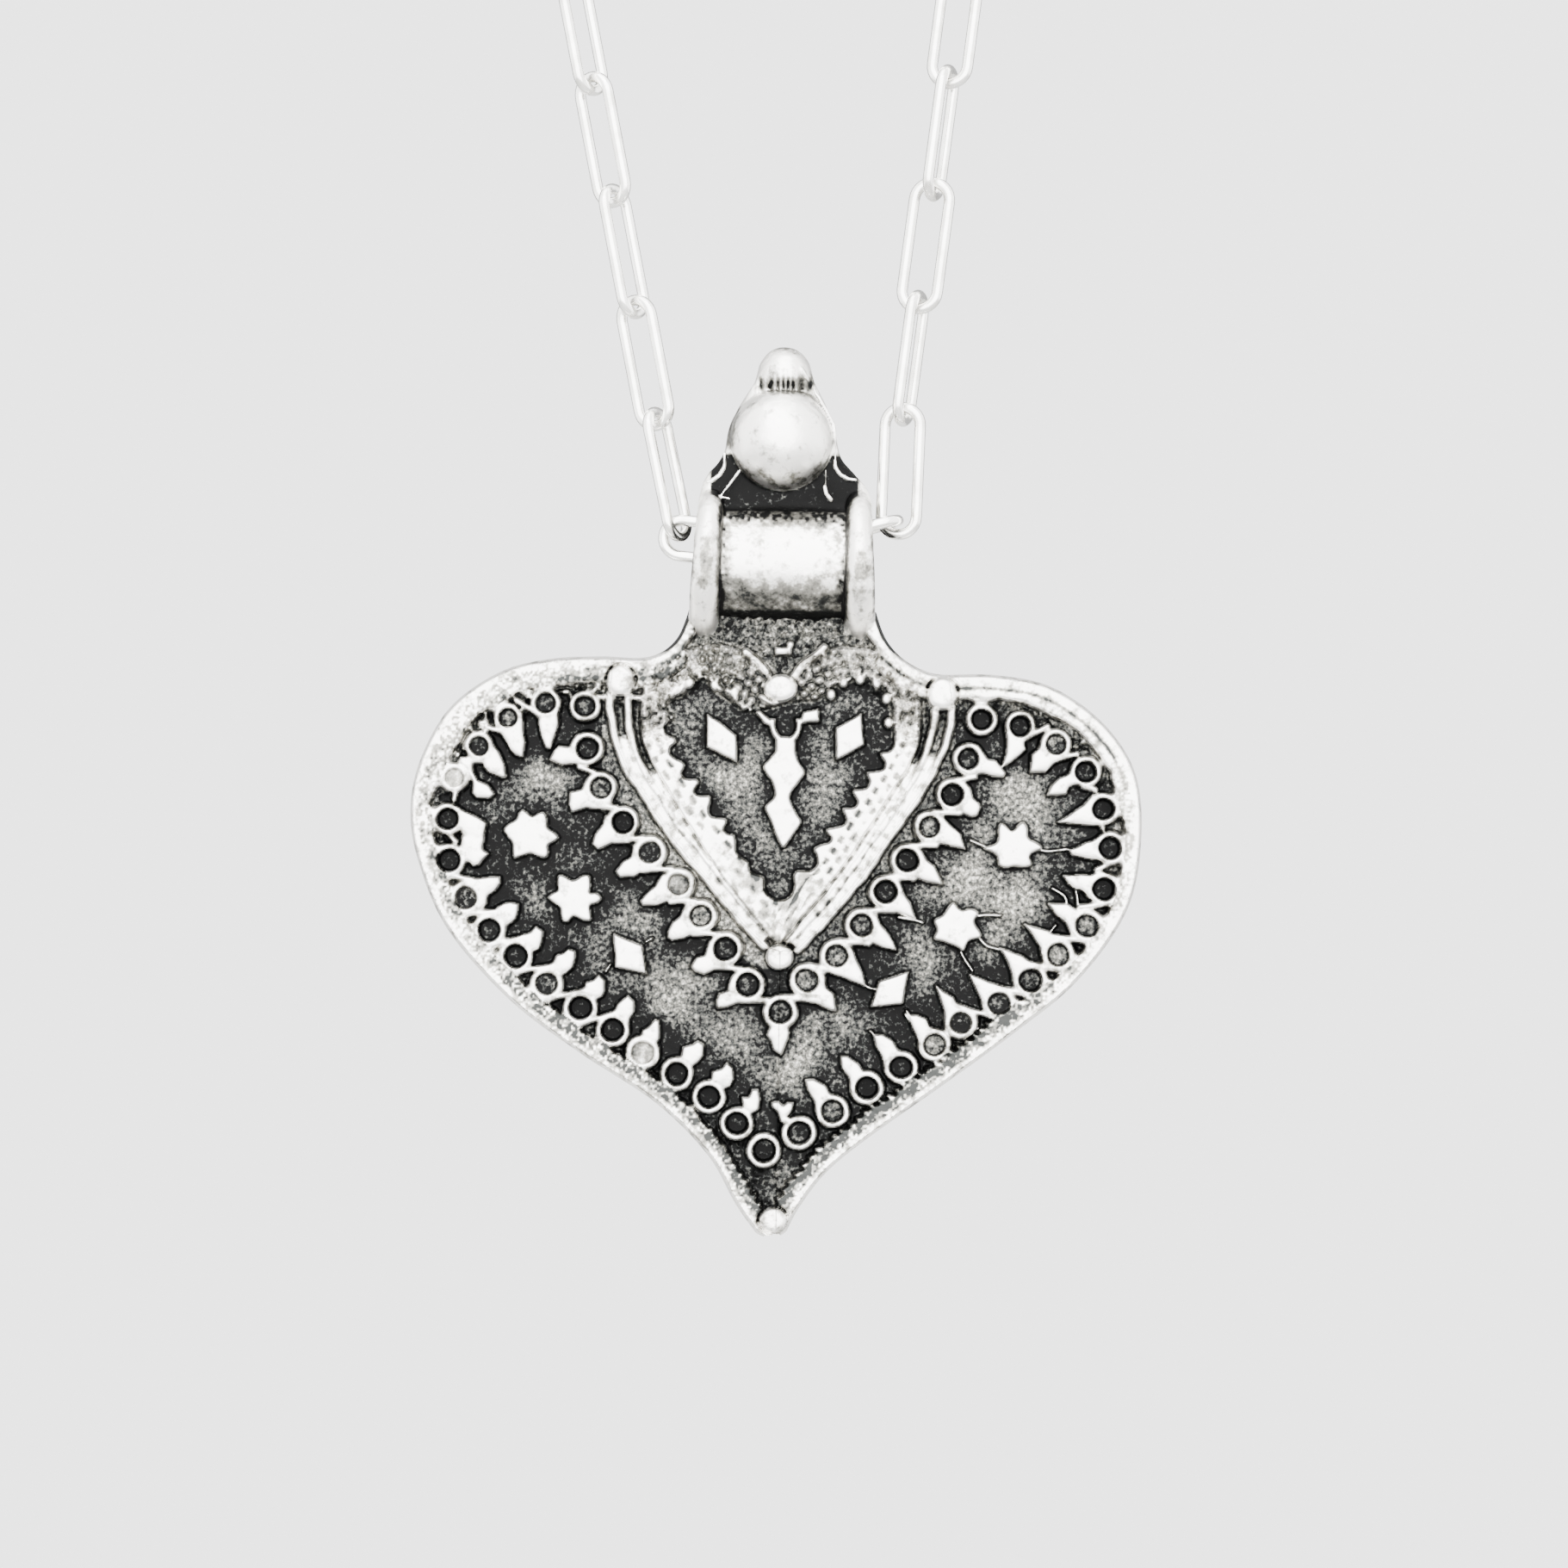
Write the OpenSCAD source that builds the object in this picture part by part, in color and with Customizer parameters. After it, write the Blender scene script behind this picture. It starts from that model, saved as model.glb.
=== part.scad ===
// Heart-shaped cast silver pendant on a chain of long oval links, hanging as it is stored.
// Millimetres, +Z up, +X to the right of a person who faces the front, which looks along -Y.
// The origin is the inside of the chain's top, where the necklace hangs.

/* [Plate] */
// Thickness of the cast plate behind its field
plate_t = 2.3; // [2:0.1:3]
// Distance of the field in front of the tube's axis
field_y = 0.95; // [0.7:0.05:1.3]
// Width of the raised rim round the plate
rim_w = 1.15; // [0.9:0.05:1.4]
// Height of the rim above the field
rim_h = 0.7; // [0.4:0.05:0.9]
// How far the back of the plate stands out past its front
draft = 0.3; // [0.2:0.05:0.5]

/* [Relief] */
// Height of the small cast ornaments above the field
relief_h = 0.75; // [0.5:0.05:1]
// Outer diameter of the small rings
ring_d = 1.9; // [1.7:0.05:2]
// Diameter of the hollow in a ring
ring_hole_d = 1.15; // [0.9:0.05:1.25]
// Radius of a star from its middle to a point
star_r = 1.36; // [1.1:0.05:1.5]
// Width of the two plain wires round the inner heart
wire_w = 0.5; // [0.4:0.05:0.6]
// Height of the inner heart's band above the field
band_h = 0.95; // [0.8:0.05:1.1]
// Distance between the teeth inside the inner heart
tooth_gap = 1.23; // [1.1:0.05:1.5]
// Diameter of the round beads
bead_d = 1.54; // [1.3:0.05:1.7]

/* [Bail] */
// Diameter of the bore that the chain runs through
bore_d = 5.2; // [5:0.05:5.3]
// Outer diameter of the tube
tube_d = 6.1; // [6:0.05:6.4]
// Thickness of the round collar at each end of the tube
collar_t = 1.45; // [1.4:0.05:1.6]
// Outer diameter of the collars
collar_d = 8; // [7.9:0.05:8.2]
// Length of the bail over its collars
bail_l = 9.5; // [9.4:0.05:9.8]

/* [Crown] */
// Diameter of the large ball above the tube
ball_d = 5.44; // [5:0.02:5.6]
// Height of the ball's middle above the tube's axis
ball_z = 6.5; // [6.3:0.05:6.7]
// Diameter of the small dome at the tip
cap_d = 2.9; // [2.6:0.05:3]
// Thickness of the web behind the ball
web_t = 2.4; // [2:0.1:2.8]

/* [Chain] */
// Wire diameter of a link
link_wire = 0.6; // [0.56:0.01:0.62]
// Length of a link over its ends
link_l = 7.32; // [7.3:0.01:7.34]
// Width of a link over its sides
link_w = 2.5; // [2.45:0.01:2.55]
// Distance between the middles of two links
pitch = 6; // [5.99:0.005:6.01]
// Radius of the chain's hidden top
arc_r = 32.8; // [32.7:0.05:32.9]
// Wire diameter of the clasp's ring
clasp_wire = 0.9; // [0.8:0.05:0.95]

/* [Hidden] */
$fn = 48;
silver = [0.78, 0.78, 0.77];
bright = [0.93, 0.93, 0.92];
sink = 0.4;              // depth that an ornament's foot goes into the plate
spline_steps = 4;        // points that a curve has between two named ones
plate_back = plate_t - field_y;
tip = [-0.05, -35.69];

// Each side of the plate, from the neck down to the tip, columns x and z.
left_side = [
    [-4.6, 0], [-4.8, -1.8], [-5.15, -3.1], [-5.6, -4.05], [-6.4, -4.75], [-7.5, -5.05],
    [-9.6, -5], [-12.3, -5.18],
    [-14.85, -5.9], [-17.4, -7.75], [-18.95, -10.5], [-19.47, -13.2], [-19, -16],
    [-17.4, -19.55], [-14.15, -23.15], [-10.5, -25.85], [-6.35, -28.5], [-3.57, -31.2],
    [-2.1, -33.7], [-0.95, -35.3]
];
right_side = [
    [4.6, 0], [4.8, -1.8], [5.15, -3.1], [5.6, -4.05], [6.35, -4.85], [7.4, -5.45], [8.5, -5.7],
    [11.2, -5.68], [14.2, -6.25],
    [17, -8.15], [18.75, -10.85], [19.08, -14.5], [18.33, -18.15], [15.8, -21.8],
    [12.5, -24.6], [8.85, -27.35], [5, -30.15], [2.8, -32], [1.4, -33.85], [0.7, -35.2]
];

// Middle lines of the rows of rings, columns x and z.
left_row = [
    [-10.3, -7.65], [-12.4, -7.6], [-14.9, -8.8], [-17, -11.4], [-17.45, -14.8],
    [-16.3, -18], [-13.2, -21.3], [-8.6, -24.65], [-3.5, -28.05], [-0.55, -30.85]
];
right_row = [
    [10.5, -8.05], [12.7, -8.45], [15.4, -10.1], [17.2, -13.2], [17.1, -16.6],
    [15.1, -20], [11.6, -22.95], [6.6, -26.4], [3, -28.75], [1.25, -29.9]
];
left_v_row = [[-10.15, -9.9], [-9.35, -12], [-6.75, -15.3], [-4, -18.6], [-1.5, -22.1]];
right_v_row = [[9.85, -10.15], [9.1, -12], [6.75, -15.5], [4.4, -18.95], [1.55, -21.95]];
v_foot = [0.18, -23.57];

// Middle lines of the plain wires beside the inner heart, columns x and z.
left_outer_wire = [[-8.6, -6.6], [-9, -8.2], [-8.2, -11.2], [-4.8, -15.8], [-0.7, -19.9]];
left_inner_wire = [[-8.1, -6.9], [-8, -8.6], [-7.3, -10.7], [-4.2, -15.2], [-0.5, -19.3]];
right_outer_wire = [[8.6, -6.8], [8.95, -8.4], [8.2, -11.2], [5, -15.7], [0.9, -19.9]];
right_inner_wire = [[8.1, -7.1], [7.95, -8.8], [7.3, -10.7], [4.4, -15.1], [0.7, -19.3]];

// The inner heart's band, both edges from the notch round to the point, columns x and z.
band_outer = [
    [-0.1, -5.7], [-1.9, -4.75], [-4.3, -4.35], [-6.6, -5.1], [-7.35, -7],
    [-7.2, -9.5], [-6.1, -12], [-3.2, -15.9], [0, -19.3]
];
band_inner = [
    [-0.1, -7.7], [-1.7, -6.7], [-3.6, -6.15], [-5.3, -6.9], [-5.75, -8.3],
    [-5.2, -10.4], [-3.1, -13.4], [-0.1, -17.2]
];

// Stars, columns x, z and turn in degrees.
stars = [[-13.09, -14.51, 10], [-10.77, -17.75, 4], [12.42, -14.69, -8], [9.3, -18.87, 12]];
// Corners of the four leaning lozenges, columns x and z.
lozenges = [
    [[-8.6, -19.6], [-7.12, -20.16], [-6.85, -21.7], [-8.5, -21.35]],
    [[5.3, -21.86], [6.85, -21.4], [6.61, -23.06], [4.95, -23.25]],
    [[-3.87, -7.98], [-2.34, -9.06], [-2.3, -10.5], [-3.86, -9.7]],
    [[2.88, -8.64], [4.23, -7.83], [4.37, -9.48], [2.94, -10.3]]
];
// Round beads, columns x and z.
beads = [[-8.43, -6.49], [8.44, -6.79], [-0.11, -6.59], [0.1, -20.68], [-0.06, -34.5]];
// Middle figure of the inner heart, right half from the top down, columns x and z.
figure_top = [0.2, -8.5];
figure_side = [[0.5, -9], [0.45, -9.9], [1.15, -11.1], [0.55, -12.8], [0.85, -13.7], [0.1, -15]];
// Right half of the web behind the ball, from the collar up to the tip, columns x and z.
web_side = [
    [4.5, 0], [4.5, 3.3], [4.2, 4], [3.5, 4.75], [3.05, 5.6], [2.95, 6.6], [2.7, 7.7],
    [2.15, 8.8], [1.5, 9.9], [1.3, 10.6], [0.75, 11.2], [0, 11.36]
];
web_x = -0.1;

// Ends of the first links on each side in the XZ plane, with the tube's axis at z = 0, columns x and z.
left_tube_link = [[0, 0.75], [-5.97, 1.35]];
right_tube_link = [[-0.1, 0.75], [5.7, 2.3]];
left_first_link = [[-5.54, 1.72], [-6.83, 7.57]];
right_first_link = [[6.05, 2.02], [6.22, 7.98]];
left_lean = 11.6;        // degrees from upright in the stretch near the pendant
right_lean = 6.8;
leaning_links = 4;
straight_links = 22;
arc_links = 9;
arc_foot = 9;            // degrees below level where a strand meets the top arc
arc_z = 166.2;           // height of the arc's middle above the tube's axis
clasp_half = 2.74;       // half the length that the clasp takes from the chain
clasp_x = 1.12;
clasp_ring_r = 2.2;
eye_r = 0.9;
eye_x = -3.47;           // middle of the clasp's eye from the middle of its ring
drop = arc_z + arc_r - link_w / 2;

function blend(a, b, c, d, t) =
    0.5 * (2 * b + (c - a) * t + (2 * a - 5 * b + 4 * c - d) * t * t
        + (3 * b - a - 3 * c + d) * t * t * t);

// A smooth curve through the named points.
function curve(p) = concat(
    [for (i = [0 : len(p) - 2]) for (k = [0 : spline_steps - 1])
        blend(p[max(i - 1, 0)], p[i], p[i + 1], p[min(i + 2, len(p) - 1)], k / spline_steps)],
    [p[len(p) - 1]]);

function backwards(p) = [for (i = [len(p) - 1 : -1 : 0]) p[i]];
function mirrored(p) = [for (q = p) [-q.x, q.y]];
function run(p) =
    [for (i = 0, s = 0; i < len(p); s = s + (i < len(p) - 1 ? norm(p[i + 1] - p[i]) : 0), i = i + 1) s];
function heading(a, b) = atan2(b.y - a.y, b.x - a.x);

// n places at equal steps along a curve, columns x, z and heading.
function spread(p, n) = let (
        c = curve(p), s = run(c), xs = [for (i = [0 : len(c) - 1]) [s[i], c[i].x]],
        zs = [for (i = [0 : len(c) - 1]) [s[i], c[i].y]], step = s[len(s) - 1] / (n - 1))
    [for (k = [0 : n - 1]) let (
            a = [lookup(k * step - 0.2, xs), lookup(k * step - 0.2, zs)],
            b = [lookup(k * step + 0.2, xs), lookup(k * step + 0.2, zs)])
        [lookup(k * step, xs), lookup(k * step, zs), heading(a, b)]];

// A drawing in the plane of the plate, raised from y = back towards the front.
module raised(back, depth) {
    translate([0, back, 0]) rotate([90, 0, 0]) linear_extrude(depth) children();
}

module ornament(height) {
    raised(-field_y + sink, height + sink) children();
}

module plate_outline() {
    polygon(concat(curve(left_side), [tip], backwards(curve(right_side))));
}

module small_ring() {
    difference() {
        circle(d = ring_d);
        circle(d = ring_hole_d);
    }
}

// Trefoil spur that points away from its ring along +X.
module spur() {
    polygon([
        [0.6, -0.28], [0.95, -0.26], [1.05, -0.52], [1.4, -0.55], [1.62, -0.25], [2.1, 0],
        [1.62, 0.25], [1.4, 0.55], [1.05, 0.52], [0.95, 0.26], [0.6, 0.28]
    ]);
}

// Broad foot that flares away from its ring along +X.
module foot() {
    polygon([
        [0.45, -0.8], [1.2, -0.5], [1.95, -0.62], [2.05, -0.2], [1.9, 0.35], [1.2, 0.36], [0.5, 0.8]
    ]);
}

// A row of rings, each with its ornament turned by side degrees from the row's own heading.
module ring_row(path, n, side) {
    for (p = spread(path, n)) translate([p.x, p.y]) {
        small_ring();
        rotate(p[2] + side) children();
    }
}

module star(turn) {
    rotate(turn) polygon([for (k = [0 : 11])
        let (r = k % 2 == 0 ? star_r : 0.7 * star_r) r * [cos(30 * k), sin(30 * k)]]);
}

// A band of even width along a curve.
module strip(path, w) {
    c = curve(path);
    n = len(c) - 1;
    side = [for (i = [0 : n])
        let (a = heading(c[max(i - 1, 0)], c[min(i + 1, n)])) w / 2 * [-sin(a), cos(a)]];
    polygon(concat([for (i = [0 : n]) c[i] + side[i]], backwards([for (i = [0 : n]) c[i] - side[i]])));
}

module both_halves(path) {
    c = curve(path);
    polygon(concat(c, backwards(mirrored(c))));
}

module inner_band() {
    half = curve(band_inner);
    teeth = floor(max(run(half)) / tooth_gap);
    difference() {
        both_halves(band_outer);
        both_halves(band_inner);
    }
    for (m = [0, 1]) mirror([m, 0])
        for (p = spread(band_inner, teeth)) translate([p.x, p.y]) circle(r = 0.36);
}

module middle_figure() {
    c = figure_side;
    translate(figure_top) small_ring();
    polygon(concat(c, backwards([for (q = c) [2 * 0.1 - q.x, q.y]])));
    for (s = [-1, 1]) polygon([
        figure_top + [s * 0.6, -0.35], figure_top + [s * 0.75, 0.2], figure_top + [s * 1.6, 0.55],
        figure_top + [s * 1.75, 0.1], figure_top + [s * 1.2, -0.25]
    ]);
}

module small_relief() {
    ring_row(left_row, 18, 90) spur();
    ring_row(right_row, 17, -90) spur();
    ring_row(left_v_row, 8, -98) foot();
    ring_row(right_v_row, 8, 98) mirror([0, 1]) foot();
    translate(v_foot) {
        small_ring();
        rotate(-90) spur();
    }
    for (s = stars) translate([s[0], s[1]]) star(s[2]);
    for (corners = lozenges) polygon(corners);
    middle_figure();
}

module wires() {
    strip(left_outer_wire, wire_w);
    strip(left_inner_wire, wire_w);
    strip(right_outer_wire, wire_w);
    strip(right_inner_wire, wire_w);
}

module plate() {
    difference() {
        union() {
            raised(plate_back, plate_t * 0.45) plate_outline();
            raised(plate_back - 0.3, plate_t - 0.3 + rim_h) offset(delta = -draft) plate_outline();
        }
        raised(-field_y, rim_h + 1) offset(delta = -rim_w) plate_outline();
    }
    ornament(relief_h) small_relief();
    ornament(relief_h + 0.05) wires();
    ornament(band_h) inner_band();
    for (b = beads) translate([b.x, -field_y - 0.45, b.y]) sphere(d = bead_d);
}

module collar(side) {
    r = (collar_d - collar_t) / 2;
    translate([side * (bail_l - collar_t) / 2, 0, 0]) rotate([0, 90, 0])
        rotate_extrude() translate([r, 0]) circle(d = collar_t);
}

module bail() {
    translate([-(bail_l - collar_t) / 2, 0, 0]) rotate([0, 90, 0])
        cylinder(d = tube_d, h = bail_l - collar_t);
    collar(-1);
    collar(1);
}

module crown() {
    raised(web_t / 2, web_t) translate([web_x, 0]) both_halves(web_side);
    translate([web_x, -0.6, ball_z]) sphere(d = ball_d);
    translate([web_x, 0, web_side[len(web_side) - 1].y - cap_d / 2]) sphere(d = cap_d);
}

module heart_pendant() {
    color(silver) translate([0, 0, -drop]) difference() {
        union() {
            plate();
            bail();
            crown();
        }
        translate([-bail_l, 0, 0]) rotate([0, 90, 0]) cylinder(d = bore_d, h = 2 * bail_l);
    }
}

// One link along +Z, its broad side turned by roll degrees from the XZ plane.
module link(roll) {
    r = (link_w - link_wire) / 2;
    half = link_l / 2 - link_w / 2;
    rotate([0, 0, roll]) for (s = [-1, 1]) {
        translate([s * r, 0, -half]) cylinder(d = link_wire, h = 2 * half);
        translate([0, 0, s * half]) rotate([90, 0, s > 0 ? 0 : 180])
            rotate_extrude(angle = s > 0 ? 180 : -180) translate([r, 0]) circle(d = link_wire);
    }
}

// A link between two points of the chain's way, centred on them.
module link_between(a, b, roll) {
    m = (a + b) / 2;
    translate([m.x, 0, m.y]) rotate([0, 90 - heading(a, b), 0]) link(roll);
}

// The points where the links of one strand join, from its second link to the clasp.
function joints(first, lean, side) = let (
        bend = first + leaning_links * pitch * [side * sin(lean), cos(lean)],
        foot = [side * arc_r * cos(arc_foot), arc_z - arc_r * sin(arc_foot)],
        last = 90 - asin(clasp_half / arc_r))
    concat(
        [for (k = [0 : leaning_links - 1]) first + (bend - first) * k / leaning_links],
        [for (k = [0 : straight_links - 1]) bend + (foot - bend) * k / straight_links],
        [for (k = [0 : arc_links]) let (a = -arc_foot + (last + arc_foot) * k / arc_links)
            [side * arc_r * cos(a), arc_z + arc_r * sin(a)]]);

// Each link is turned a quarter from the last one, and a strand may twist a little on its way.
module strand(tube_link, first_link, lean, side, rolls, twist) {
    j = joints(first_link[1], lean, side);
    link_between(tube_link[0], tube_link[1], rolls[0]);
    link_between(first_link[0], first_link[1], rolls[1]);
    for (k = [1 : len(j) - 1]) link_between(j[k - 1], j[k], rolls[k % 2 == 1 ? 2 : 1] + twist * k);
}

module chain_left() {
    color(bright) translate([0, 0, -drop])
        strand(left_tube_link, left_first_link, left_lean, -1, [2, 60, -30], -2.5);
}

module chain_right() {
    color(bright) translate([0, 0, -drop])
        strand(right_tube_link, right_first_link, right_lean, 1, [88, -14, 68], 0);
}

// Ring clasp with its small eye towards the left strand.
module clasp() {
    color(bright) translate([clasp_x, 0, -drop + arc_z + sqrt(arc_r * arc_r - clasp_half * clasp_half)])
        rotate([90, 0, 0]) {
            rotate_extrude() translate([clasp_ring_r, 0]) circle(d = clasp_wire);
            translate([eye_x, 0, 0]) rotate_extrude() translate([eye_r, 0]) circle(d = link_wire);
        }
}

heart_pendant();
chain_left();
chain_right();
clasp();
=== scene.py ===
"""Cast silver heart pendant on a chain of long oval links, hanging as it is stored.

Lengths are in millimetres, in the pendant's own frame: the tube's axis is at z = 0, x runs to
the right and the front looks along -y. The tables of points are in hundredths of a millimetre.
Meshes are built in that frame and then moved into the row's frame, in metres. In a formula for
wear, oxide or painted shade, numbers beside x, y or z are millimetres, seeds stand last in each
cloud, and the other numbers are shares of 1.
"""
import logging
import math
from dataclasses import dataclass, field
from enum import Enum
from itertools import product
from typing import ClassVar

import bpy
import numpy as np
from mathutils import Matrix, Vector, geometry, kdtree


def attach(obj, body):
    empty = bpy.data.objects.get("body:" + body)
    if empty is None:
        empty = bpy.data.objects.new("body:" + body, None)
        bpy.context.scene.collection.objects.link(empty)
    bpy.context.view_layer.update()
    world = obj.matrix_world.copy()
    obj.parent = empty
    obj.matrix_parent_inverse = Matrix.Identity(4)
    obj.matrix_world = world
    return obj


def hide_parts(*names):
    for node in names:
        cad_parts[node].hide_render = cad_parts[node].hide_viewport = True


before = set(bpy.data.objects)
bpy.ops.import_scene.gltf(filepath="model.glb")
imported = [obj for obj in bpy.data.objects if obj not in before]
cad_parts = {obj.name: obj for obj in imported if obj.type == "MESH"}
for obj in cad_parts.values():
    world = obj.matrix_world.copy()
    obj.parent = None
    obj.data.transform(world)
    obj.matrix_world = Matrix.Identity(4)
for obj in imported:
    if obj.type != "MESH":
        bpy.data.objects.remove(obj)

LOG = logging.getLogger("heart_pendant")
MM = 0.001
DROP = 197.75  # height of the hanging point above the tube's axis
CORNERS = tuple(product((0, 1), repeat=3))  # corners of a cube, from its lowest one
Array = np.ndarray
Mesh = tuple[Array, Array]  # vertices and quads
Part = tuple[slice, slice]  # rows and columns of a grid
Points = tuple[tuple[float, ...], ...]
Lines = tuple[Points, ...]


class Slot(Enum):
    """Material slots of the record."""

    CAST = "cast_silver"
    CHAIN = "chain_silver"
    CLASP = "clasp_silver"


def marks(*hundredths: int, width: int = 2) -> Points:
    """Turn hundredths of a millimetre into a table in millimetres.

    Args:
        hundredths: Numbers of all its rows.
        width: How many numbers a row has.

    Returns:
        The rows.
    """
    values = [n / 100 for n in hundredths]
    return tuple(tuple(values[k:k + width]) for k in range(0, len(values), width))


def lines(*rows: tuple[int, ...], width: int = 2) -> Lines:
    """Turn several rows of hundredths of a millimetre into as many tables."""
    return tuple(marks(*row, width=width) for row in rows)


def linear(hex_colour: str) -> tuple[float, float, float, float]:
    """Turn an sRGB hex colour into linear values.

    Args:
        hex_colour: Colour such as "#f4f2ee".

    Returns:
        Linear red, green, blue and an alpha of 1.
    """
    parts = [int(hex_colour[i:i + 2], 16) / 255 for i in (1, 3, 5)]
    red, green, blue = (p / 12.92 if p <= 0.04045 else ((p + 0.055) / 1.055) ** 2.4 for p in parts)
    return red, green, blue, 1.0


def feed(tree: bpy.types.NodeTree, node: bpy.types.Node, given: dict) -> bpy.types.Node:
    """Set a node's properties and inputs, and link other nodes to it.

    Args:
        tree: The node's tree.
        node: The node.
        given: Values by property name, or by input name or number. A socket is linked, and so
            is a node's first output. "stops" are positions and hex colours of a colour ramp.

    Returns:
        The node.
    """
    for key, value in given.items():
        if isinstance(value, bpy.types.Node):
            value = value.outputs[0]
        if isinstance(value, bpy.types.NodeSocket):
            tree.links.new(value, node.inputs[key])
        elif key == "stops":
            ramp = node.color_ramp.elements
            for number, (position, colour) in ((0, value[0]), (1, value[-1])):
                ramp[number].position, ramp[number].color = position, linear(colour)
            for position, colour in value[1:-1]:
                ramp.new(position).color = linear(colour)
        elif isinstance(key, int) or key in node.inputs:
            node.inputs[key].default_value = value
        else:
            setattr(node, key, value)
    return node


def add_node(tree: bpy.types.NodeTree, kind: str, given: dict | None = None) -> bpy.types.Node:
    """Add one shader node, such as "Math", with the settings and links that feed() takes."""
    return feed(tree, tree.nodes.new("ShaderNode" + kind), given or {})


def flow(points: Points, steps: int = 16) -> Array:
    """Lay a smooth curve through named points.

    Args:
        points: Points that the curve passes through.
        steps: Places that the curve has from one point to the next.

    Returns:
        Array of places, one row each.
    """
    p = np.array(points, float)
    t = (np.arange(steps) / steps)[:, None]
    out = []
    for i in range(len(p) - 1):
        a, b, c, d = p[max(i - 1, 0)], p[i], p[i + 1], p[min(i + 2, len(p) - 1)]
        out.append(0.5 * (2 * b + (c - a) * t + (2 * a - 5 * b + 4 * c - d) * t ** 2
                          + (3 * b - a - 3 * c + d) * t ** 3))
    return np.vstack(out + [p[-1:]])


def ease(t: Array) -> Array:
    """Smooth step of values that are held between 0 and 1."""
    t = np.clip(t, 0, 1)
    return t * t * (3 - 2 * t)


def bell(t: Array) -> Array:
    """Bell curve, which is 1 at 0 and nearly 0 at 2."""
    return np.exp(-t ** 2)


def join(a: Array, b: Array, soft: float) -> Array:
    """Unite two signed distances with a soft inner corner."""
    h = np.clip(0.5 + 0.5 * (b - a) / soft, 0, 1)
    return b * (1 - h) + a * h - soft * h * (1 - h)


def cloud(x: Array, z: Array, grain: float, seed: int) -> Array:
    """Soft random unevenness.

    Args:
        x: First coordinate in millimetres.
        z: Second coordinate in millimetres.
        grain: Size of one lump in millimetres.
        seed: Number that fixes the pattern.

    Returns:
        Values from about -1 to 1.
    """
    n = 97  # lumps after which the pattern repeats
    lattice = np.random.default_rng(seed).uniform(-1, 1, (n, n))
    u, v = x / grain + 1000.37, z / grain + 1000.71
    i, j = np.floor(u).astype(int), np.floor(v).astype(int)
    a, b = ease(u - i), ease(v - j)
    i0, j0, i1, j1 = i % n, j % n, (i + 1) % n, (j + 1) % n
    return ((lattice[i0, j0] * (1 - a) + lattice[i1, j0] * a) * (1 - b)
            + (lattice[i0, j1] * (1 - a) + lattice[i1, j1] * a) * b)


def polygon_distance(x: Array, z: Array, corners: Array) -> Array:
    """Signed distance to a closed polygon, negative inside it.

    Args:
        x: First coordinate of each place.
        z: Second coordinate of each place.
        corners: Corners of the polygon, one row each.

    Returns:
        Distance of each place.
    """
    best = np.full(x.shape, 1e9)
    inside = np.zeros(x.shape, bool)
    for (ax, az), (bx, bz) in zip(corners, np.roll(corners, -1, 0)):
        ex, ez = bx - ax, bz - az
        t = np.clip(((x - ax) * ex + (z - az) * ez) / (ex * ex + ez * ez + 1e-12), 0, 1)
        best = np.minimum(best, np.hypot(x - ax - t * ex, z - az - t * ez))
        if abs(ez) > 1e-12:
            inside ^= ((az > z) != (bz > z)) & (x < ex * (z - az) / ez + ax)
    return np.where(inside, -best, best)


def blur(values: Array, reach: float) -> Array:
    """Gaussian blur over a grid.

    Args:
        values: Grid of values.
        reach: Spread in cells.

    Returns:
        The blurred grid.
    """
    fz = np.fft.fftfreq(values.shape[0])[:, None]
    fx = np.fft.rfftfreq(values.shape[1])[None, :]
    keep = np.exp(-2 * (math.pi * reach) ** 2 * (fx * fx + fz * fz))
    return np.fft.irfft2(np.fft.rfft2(values) * keep, s=values.shape)


def swell(distance: Array, height: float | Array, flank: float = 0.15,
          crown: float = 0.05) -> Array:
    """Height of a cast ornament with steep flanks and a slightly rounded top.

    Args:
        distance: Signed distance to the ornament's edge, negative inside.
        height: Height of its top.
        flank: Width of its steep side.
        crown: How far the top's edge is rounded down.

    Returns:
        Height at each place.
    """
    rise = ease(0.5 - distance / flank)
    return rise * (height - crown * np.exp(np.minimum(distance, 0) / 0.22))


def make_object(name: str, places: Array, faces: list, values: dict[str, Array] | None = None,
                normals: Array | None = None) -> bpy.types.Object:
    """Make an object in the row's frame from places in the pendant's frame.

    Args:
        name: Name of the object.
        places: Vertices in millimetres.
        faces: Lists of vertex numbers.
        values: Named values for each vertex.
        normals: Shading normals, where a zero keeps the mesh's own.

    Returns:
        The object, smooth shaded and linked to the scene.
    """
    moved = (places - np.array([0.0, 0.0, DROP])) * MM
    mesh = bpy.data.meshes.new(name)
    mesh.from_pydata(moved.tolist(), [], faces)
    mesh.validate()
    mesh.polygons.foreach_set("use_smooth", [True] * len(mesh.polygons))
    for key, data in (values or {}).items():
        layer = mesh.attributes.new(key, "FLOAT", "POINT")
        layer.data.foreach_set("value", np.asarray(data, np.float32))
    mesh.update()
    if normals is not None:
        mesh.normals_split_custom_set_from_vertices(normals.tolist())
    piece = bpy.data.objects.new(name, mesh)
    bpy.context.scene.collection.objects.link(piece)
    return piece


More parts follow.
